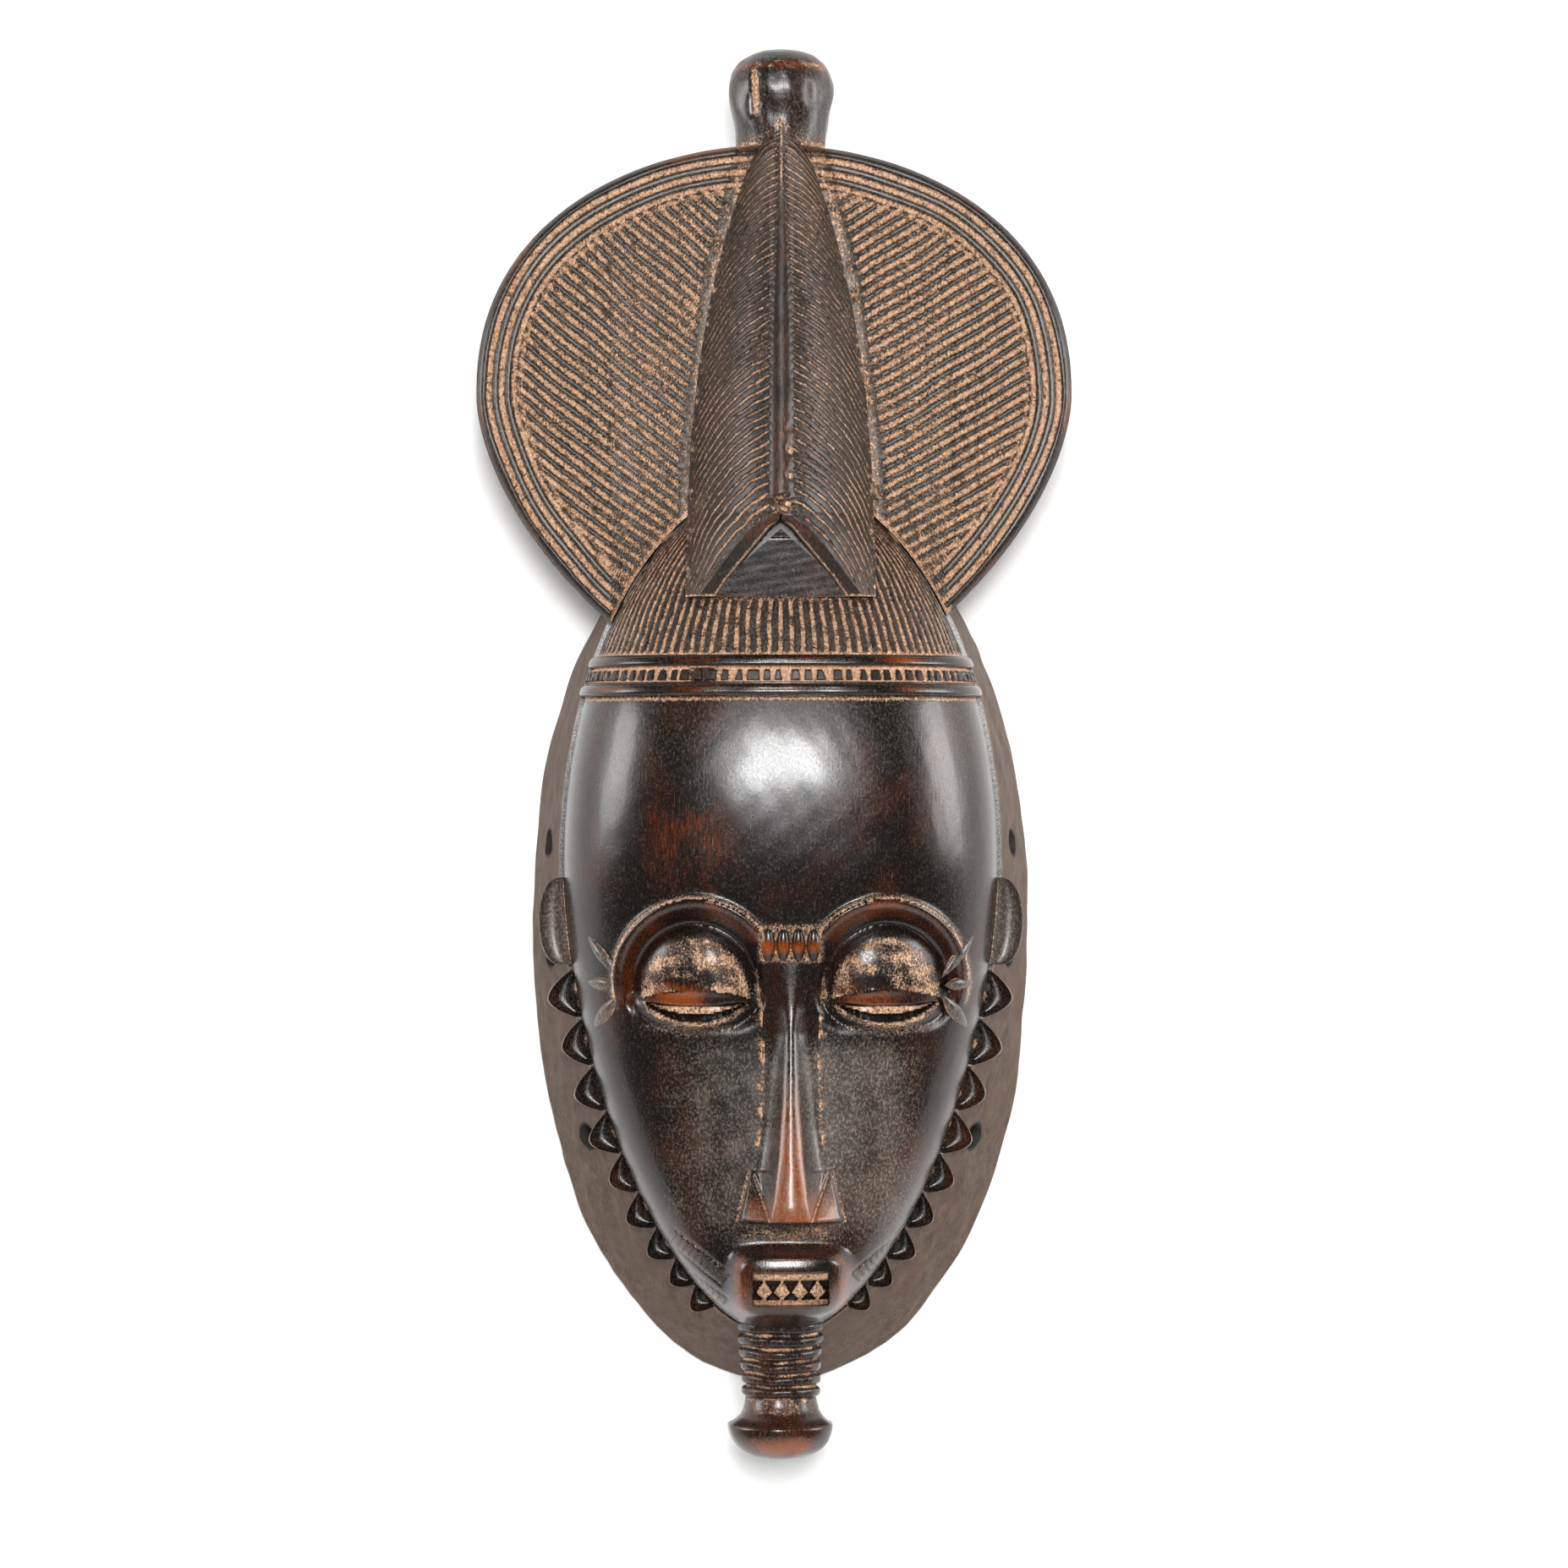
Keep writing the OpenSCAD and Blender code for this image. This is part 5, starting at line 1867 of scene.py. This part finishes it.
class Turned:
    """Shared ways of the round pieces."""

    @staticmethod
    def seat(mesh: Mesh, middle: float, depth: float, low: float,
             dress: Callable[[Array, Array, Array], tuple[Array, Array, Array, Array, Array]]) -> Mesh:
        """Puts a spun piece in its place.

        Args:
            mesh: The spun profile, round the origin.
            middle: Place of its axis from left to right.
            depth: Depth of its axis.
            low: Level of its lowest point.
            dress: From radius, height and angle, gives a new radius and height, and the shares.

        Returns:
            The same mesh.
        """
        def shape(x: Array, y: Array, z: Array) -> Skin:
            """Moves each ring to its new radius and height.

            Args:
                x, y, z: The turned piece's coordinates.

            Returns:
                Its skin, in place.
            """
            r, angle = np.hypot(x, y), np.arctan2(x, -y)
            radius, height, clay, wear, dust = dress(r, z, angle)
            held = np.where(r < FIRST, 0.0, radius)
            return Skin(middle + held * np.sin(angle), depth + held * np.cos(angle), low + height,
                        clay, wear, dust)

        return mesh.lay(shape)


@dataclass
class TopKnob:
    """The round knob on top, with an old chip on its left."""

    steps: int = 120
    chip_x: float = -8.0
    chip_z: float = 16.0
    chip_tall: float = 7.8
    chip_wide: float = 1.7

    def build(self) -> None:
        """Makes the knob."""
        box = Box.of("top_knob")
        low = Box.of("crest").high + 0.1
        tall, wide = box.high - low, box.half
        rise = [(0.0, 0.0), (0.80, 0.0), (0.855, 0.015), (0.865, 0.06), (0.88, 0.14), (0.925, 0.28),
                (0.972, 0.42), (1.0, 0.56), (0.995, 0.66), (0.94, 0.77), (0.82, 0.865), (0.62, 0.94),
                (0.36, 0.985), (0.0, 1.0)]
        place = np.linspace(0, len(rise) - 1, 91)
        radii = np.interp(place, range(len(rise)), [r for r, _ in rise])
        highs = np.interp(place, range(len(rise)), [h for _, h in rise])
        for _ in range(6):
            radii[3:-3] = (radii[2:-4] + 2 * radii[3:-3] + radii[4:-2]) / 4
            highs[3:-3] = (highs[2:-4] + 2 * highs[3:-3] + highs[4:-2]) / 4
        mesh = Mesh()
        mesh.spin([(float(r) * wide, float(h) * tall) for r, h in zip(radii, highs)], self.steps)

        def dress(r: Array, h: Array, angle: Array) -> tuple[Array, ...]:
            """The knob's hand-cut surface, its chip and its wear.

            Args:
                r: Distance from the piece's axis.
                h: Height over its foot.
                angle: Angle round the axis, 0 in front.

            Returns:
                The new distance and height, and the shares of clay, rubbing and dust.
            """
            x, y = r * np.sin(angle), r * np.cos(angle)
            hand = 0.30 * ripple(x, y, h, 15.0, 91) + 0.10 * ripple(x, y, h, 5.0, 92)
            lens = np.sqrt(np.maximum(0.0, 1 - ((h - self.chip_z) / self.chip_tall) ** 2))
            off, half = np.abs(x - self.chip_x), self.chip_wide * lens
            chip = ramp(off, half, half - 0.4) * (lens > 0) * (np.cos(angle) > 0)
            foot = 0.40 * ramp(h, 9, 2) * (np.cos(angle) > 0.3)
            clay = np.maximum.reduce([0.60 * chip, 0.55 * ramp(h, 4.5, 0.5), foot])
            crown = bump(h - 0.80 * tall, 2.0) * (np.cos(angle) > 0)
            clay = np.maximum(clay, 0.44 * crown * (0.7 + 0.5 * ripple(x, y, h, 4.0, 93)))
            wear = 0.6 * crown + 0.35 * chip
            return r + hand * smooth(r / 4) - 1.1 * chip, h + 0 * r, clay, wear, 0.35 + 0 * r

        middle, depth = box.middle, box.front - wide
        keep(Turned.seat(mesh, middle, depth, low, dress).write("knob", 50.0), Slot.DARK, "top_knob")


@dataclass
class Beard:
    """The ringed beard and its domed end."""

    steps: int = 120
    ring_tall: float = 3.9
    rings: int = 6
    groove: float = 1.5
    groove_half: float = 0.72
    tip_tall: float = 18.5
    waist: float = 0.56

    def build(self) -> None:
        """Makes stem and tip."""
        stem, tip = Box.of("beard_stem"), Box.of("beard_tip")
        depth = (stem.front + stem.back) / 2
        tall = self.ring_tall * self.rings
        top_half, low_half = stem.half, stem.half - 1.5
        levels = np.linspace(0.0, tall, 118)
        side = [(self.radius(h, low_half, top_half, tall), float(h)) for h in levels]
        mesh = Mesh()
        mesh.spin([(0.0, 0.0)] + side + [(0.0, tall)], self.steps)

        def dress(r: Array, h: Array, angle: Array) -> tuple[Array, ...]:
            """Rings that sag a little in front, with clay between them.

            Args:
                r: Distance from the piece's axis.
                h: Height over its foot.
                angle: Angle round the axis, 0 in front.

            Returns:
                The new distance and height, and the shares of clay, rubbing and dust.
            """
            x, y = r * np.sin(angle), r * np.cos(angle)
            sag = -0.35 * np.cos(angle) * np.sin(math.pi * np.clip(h / tall, 0, 1))
            wave = 0.22 * ripple(x, y, h * 0.6, 13.0, 101) * ((h > 0.3) & (h < tall - 0.3))
            phase = h / self.ring_tall
            cutting = bump(phase - np.round(phase), 0.17, 2.6)
            clay = 0.62 * cutting * (r > 6) * (0.85 + 0.3 * ripple(x, y, h, 5.0, 102))
            wear = 0.25 * (1 - cutting)
            hand = 0.2 * ripple(x, y, h, 7.0, 103) * smooth(r / 5)
            return r + hand, h + sag + wave, clay, wear, 0.2 + 0 * r

        seated = Turned.seat(mesh, stem.middle, depth, stem.low, dress)
        keep(seated.write("beard_rings", 60.0), Slot.DARK, "beard_stem")

        reach, height = tip.half, self.tip_tall
        rounded = [(0.0, 0.0)] + [(reach * math.sin(t) ** 0.86, height * self.waist * (1 - math.cos(t)))
                                  for t in np.linspace(0.06, math.pi / 2, 34)]
        flare = [(reach - 0.25, height * self.waist + 0.5)]
        flare += [(reach - less, height * share) for less, share in
                  ((1.0, 0.60), (2.6, 0.655), (3.9, 0.72), (4.9, 0.80), (5.5, 0.90), (5.8, 1.0))]
        mesh = Mesh()
        mesh.spin(rounded + flare + [(0.0, height)], self.steps)

        def dress_tip(r: Array, h: Array, angle: Array) -> tuple[Array, ...]:
            """The domed end, rubbed in front.

            Args:
                r: Distance from the piece's axis.
                h: Height over its foot.
                angle: Angle round the axis, 0 in front.

            Returns:
                The new distance and height, and the shares of clay, rubbing and dust.
            """
            x, y = r * np.sin(angle), r * np.cos(angle)
            hand = 0.28 * ripple(x, y, h, 12.0, 104) * smooth(r / 5)
            clay = np.maximum(0.50 * ramp(h, 12.6, 14.6) * (0.85 + 0.3 * ripple(x, y, h, 4.0, 105)), 0)
            clay = clay * (1 - 0.85 * bump(h - 15.8, 0.75))
            wear = np.maximum(0.95 * bump(h - 4.2, 4.0) * np.clip(np.cos(angle), 0, 1) ** 2, 0.25)
            return r + hand, h + 0 * r, clay, wear, 0.1 + 0 * r

        seated = Turned.seat(mesh, tip.middle, depth, tip.low, dress_tip)
        keep(seated.write("beard_end", 60.0), Slot.FACE, "beard_tip")

    def radius(self, h: float, low: float, high: float, tall: float) -> float:
        """The stem's radius at a height, with its grooves.

        Args:
            h: Height over the foot.
            low, high: Radius at the foot and at the top.
            tall: The stem's height.

        Returns:
            The radius at that height.
        """
        phase = h / self.ring_tall
        off = abs(phase - round(phase)) * self.ring_tall
        return low + (high - low) * h / tall - self.groove * math.exp(-(off / self.groove_half) ** 2)


@dataclass(frozen=True)
class CadPieces:
    """The CAD nodes that stay as they are and get a better finish."""

    pegs: tuple[str, ...] = ("rim_pegs", "disc_pegs", "crest_pegs")

    def dress(self) -> None:
        """Puts the finishes on."""
        for node in self.pegs:
            obj = frame["nodes"][node]
            if not obj.material_slots:
                obj.data.materials.append(None)
            for place in obj.material_slots:
                place.material = material_of(Slot.PEG)
            LOG.info("%s: dressed", node)


@dataclass
class Stage:
    """A pale wall and floor, soft lights and the camera."""

    wall_gap: float = 0.0015
    floor_z: float = -0.80
    lamps: Sequence[tuple[str, tuple[float, float, float], float, float, float]] = (
        ("key", (0.06, -2.0, 0.34), 0.05, 0.50, 38.0),
        ("top", (0.03, -1.45, 1.00), 0.10, 0.16, 6.0),
        ("left_fill", (-1.6, -0.28, 0.35), 0.05, 0.7, 16.0),
        ("right_fill", (1.6, -0.28, 0.35), 0.05, 0.8, 22.0),
        ("back", (0.35, 1.4, 0.45), 0.05, 1.0, 16.0))

    def plane(self, name: str, matrix: Matrix, size: float, colour: Colour, see_through: bool) -> None:
        """Adds one pale plane.

        Args:
            name: Its name.
            matrix: Its place and turn.
            size: Half its side, in metres.
            colour: Its tone.
            see_through: Whether its back lets light and sight through.
        """
        mesh = Mesh()
        bmesh.ops.create_grid(mesh.bm, x_segments=8, y_segments=8, size=size)
        mesh.bm.transform(matrix)
        made = bpy.data.meshes.new(name)
        mesh.bm.to_mesh(made)
        mesh.bm.free()
        obj = bpy.data.objects.new(name, made)
        bpy.context.scene.collection.objects.link(obj)
        s = Shader(name)
        mottle = s.noise((60.0, 60.0, 60.0), detail=4.0)
        pale = s.tint(mottle, colour, tuple(min(1.0, c * 1.03) for c in colour))
        s.feed(s.surface.inputs["Base Color"], pale)
        s.surface.inputs["Roughness"].default_value = 0.9
        s.surface.inputs["Specular IOR Level"].default_value = 0.1
        s.relief(s.noise((2.0, 2.0, 2.0), detail=3.0), 0.05)
        if see_through:
            clear = s.node("ShaderNodeBsdfTransparent")
            mix = s.node("ShaderNodeMixShader")
            path = s.node("ShaderNodeLightPath").outputs["Is Shadow Ray"]
            behind = s.node("ShaderNodeNewGeometry").outputs["Backfacing"]
            s.feed(mix.inputs[0], s.calc("MAXIMUM", path, behind))
            s.tree.links.new(s.surface.outputs[0], mix.inputs[1])
            s.tree.links.new(clear.outputs[0], mix.inputs[2])
            out = next(n for n in s.tree.nodes if n.type == "OUTPUT_MATERIAL")
            s.tree.links.new(mix.outputs[0], out.inputs[0])
        made.materials.append(s.material)

    def light(self, name: str, place: tuple[float, float, float], aim: float, size: float,
              power: float) -> None:
        """Adds one soft square light, aimed at the z axis.

        Args:
            name: The light's name.
            place: Where it stands.
            aim: The level that it is aimed at.
            size: The length of its side.
            power: Its power in watts.
        """
        lamp = bpy.data.lights.new(name, "AREA")
        lamp.shape, lamp.size, lamp.energy = "SQUARE", size, power
        obj = bpy.data.objects.new(name, lamp)
        obj.location = place
        obj.rotation_euler = (Vector((0, 0, aim)) - Vector(place)).to_track_quat("-Z", "Y").to_euler()
        bpy.context.scene.collection.objects.link(obj)

    def camera(self) -> None:
        """Adds the camera, straight in front."""
        lens = bpy.data.cameras.new("camera")
        lens.lens, lens.sensor_width = 123.0, 36.0
        lens.clip_start, lens.clip_end = 0.05, 20.0
        obj = bpy.data.objects.new("camera", lens)
        obj.location = (0.001, -1.642, 0.049)
        obj.rotation_euler = (math.pi / 2, 0.0, 0.0)
        bpy.context.scene.collection.objects.link(obj)
        bpy.context.scene.camera = obj

    def build(self) -> None:
        """Makes the stage."""
        upright = Matrix.Translation((0, self.wall_gap, 0.4)) @ Matrix.Rotation(math.pi / 2, 4, "X")
        self.plane("wall", upright, 1.2, (0.90, 0.90, 0.895), True)
        flat = Matrix.Translation((0, -0.15, self.floor_z))
        self.plane("floor", flat, 0.8, (0.86, 0.86, 0.855), False)
        for lamp in self.lamps:
            self.light(*lamp)
        world = bpy.data.worlds.new("room")
        world.use_nodes = True
        room = world.node_tree.nodes["Background"]
        room.inputs["Color"].default_value = (0.97, 0.98, 1.0, 1.0)
        path = world.node_tree.nodes.new("ShaderNodeLightPath")
        seen = world.node_tree.nodes.new("ShaderNodeMath")
        seen.operation = "MULTIPLY_ADD"
        seen.inputs[1].default_value, seen.inputs[2].default_value = 0.70, 0.12
        world.node_tree.links.new(path.outputs["Is Camera Ray"], seen.inputs[0])
        world.node_tree.links.new(seen.outputs[0], room.inputs["Strength"])
        bpy.context.scene.world = world
        self.camera()
        view = bpy.context.scene.view_settings
        view.view_transform, view.look = "Standard", "None"
        view.gamma = 0.87


def main() -> None:
    """Builds the mask and its stage."""
    logging.basicConfig(level=logging.INFO, format="%(message)s")
    head = HeadForm.from_frame()
    Stage().build()
    FaceShell(head).build()
    HairCap(head).build()
    Headband(head).build()
    HairDisc(head).build()
    Crest(head).build()
    GablePanel().build()
    Rim(head).build()
    ToothCollar(head).build()
    for side in (-1, 1):
        Ear(head, side).build()
        TempleMarks(head, side).build()
    BrowMarks(head).build()
    TopKnob().build()
    Beard().build()
    CadPieces().dress()


if __name__ == "__main__":
    main()
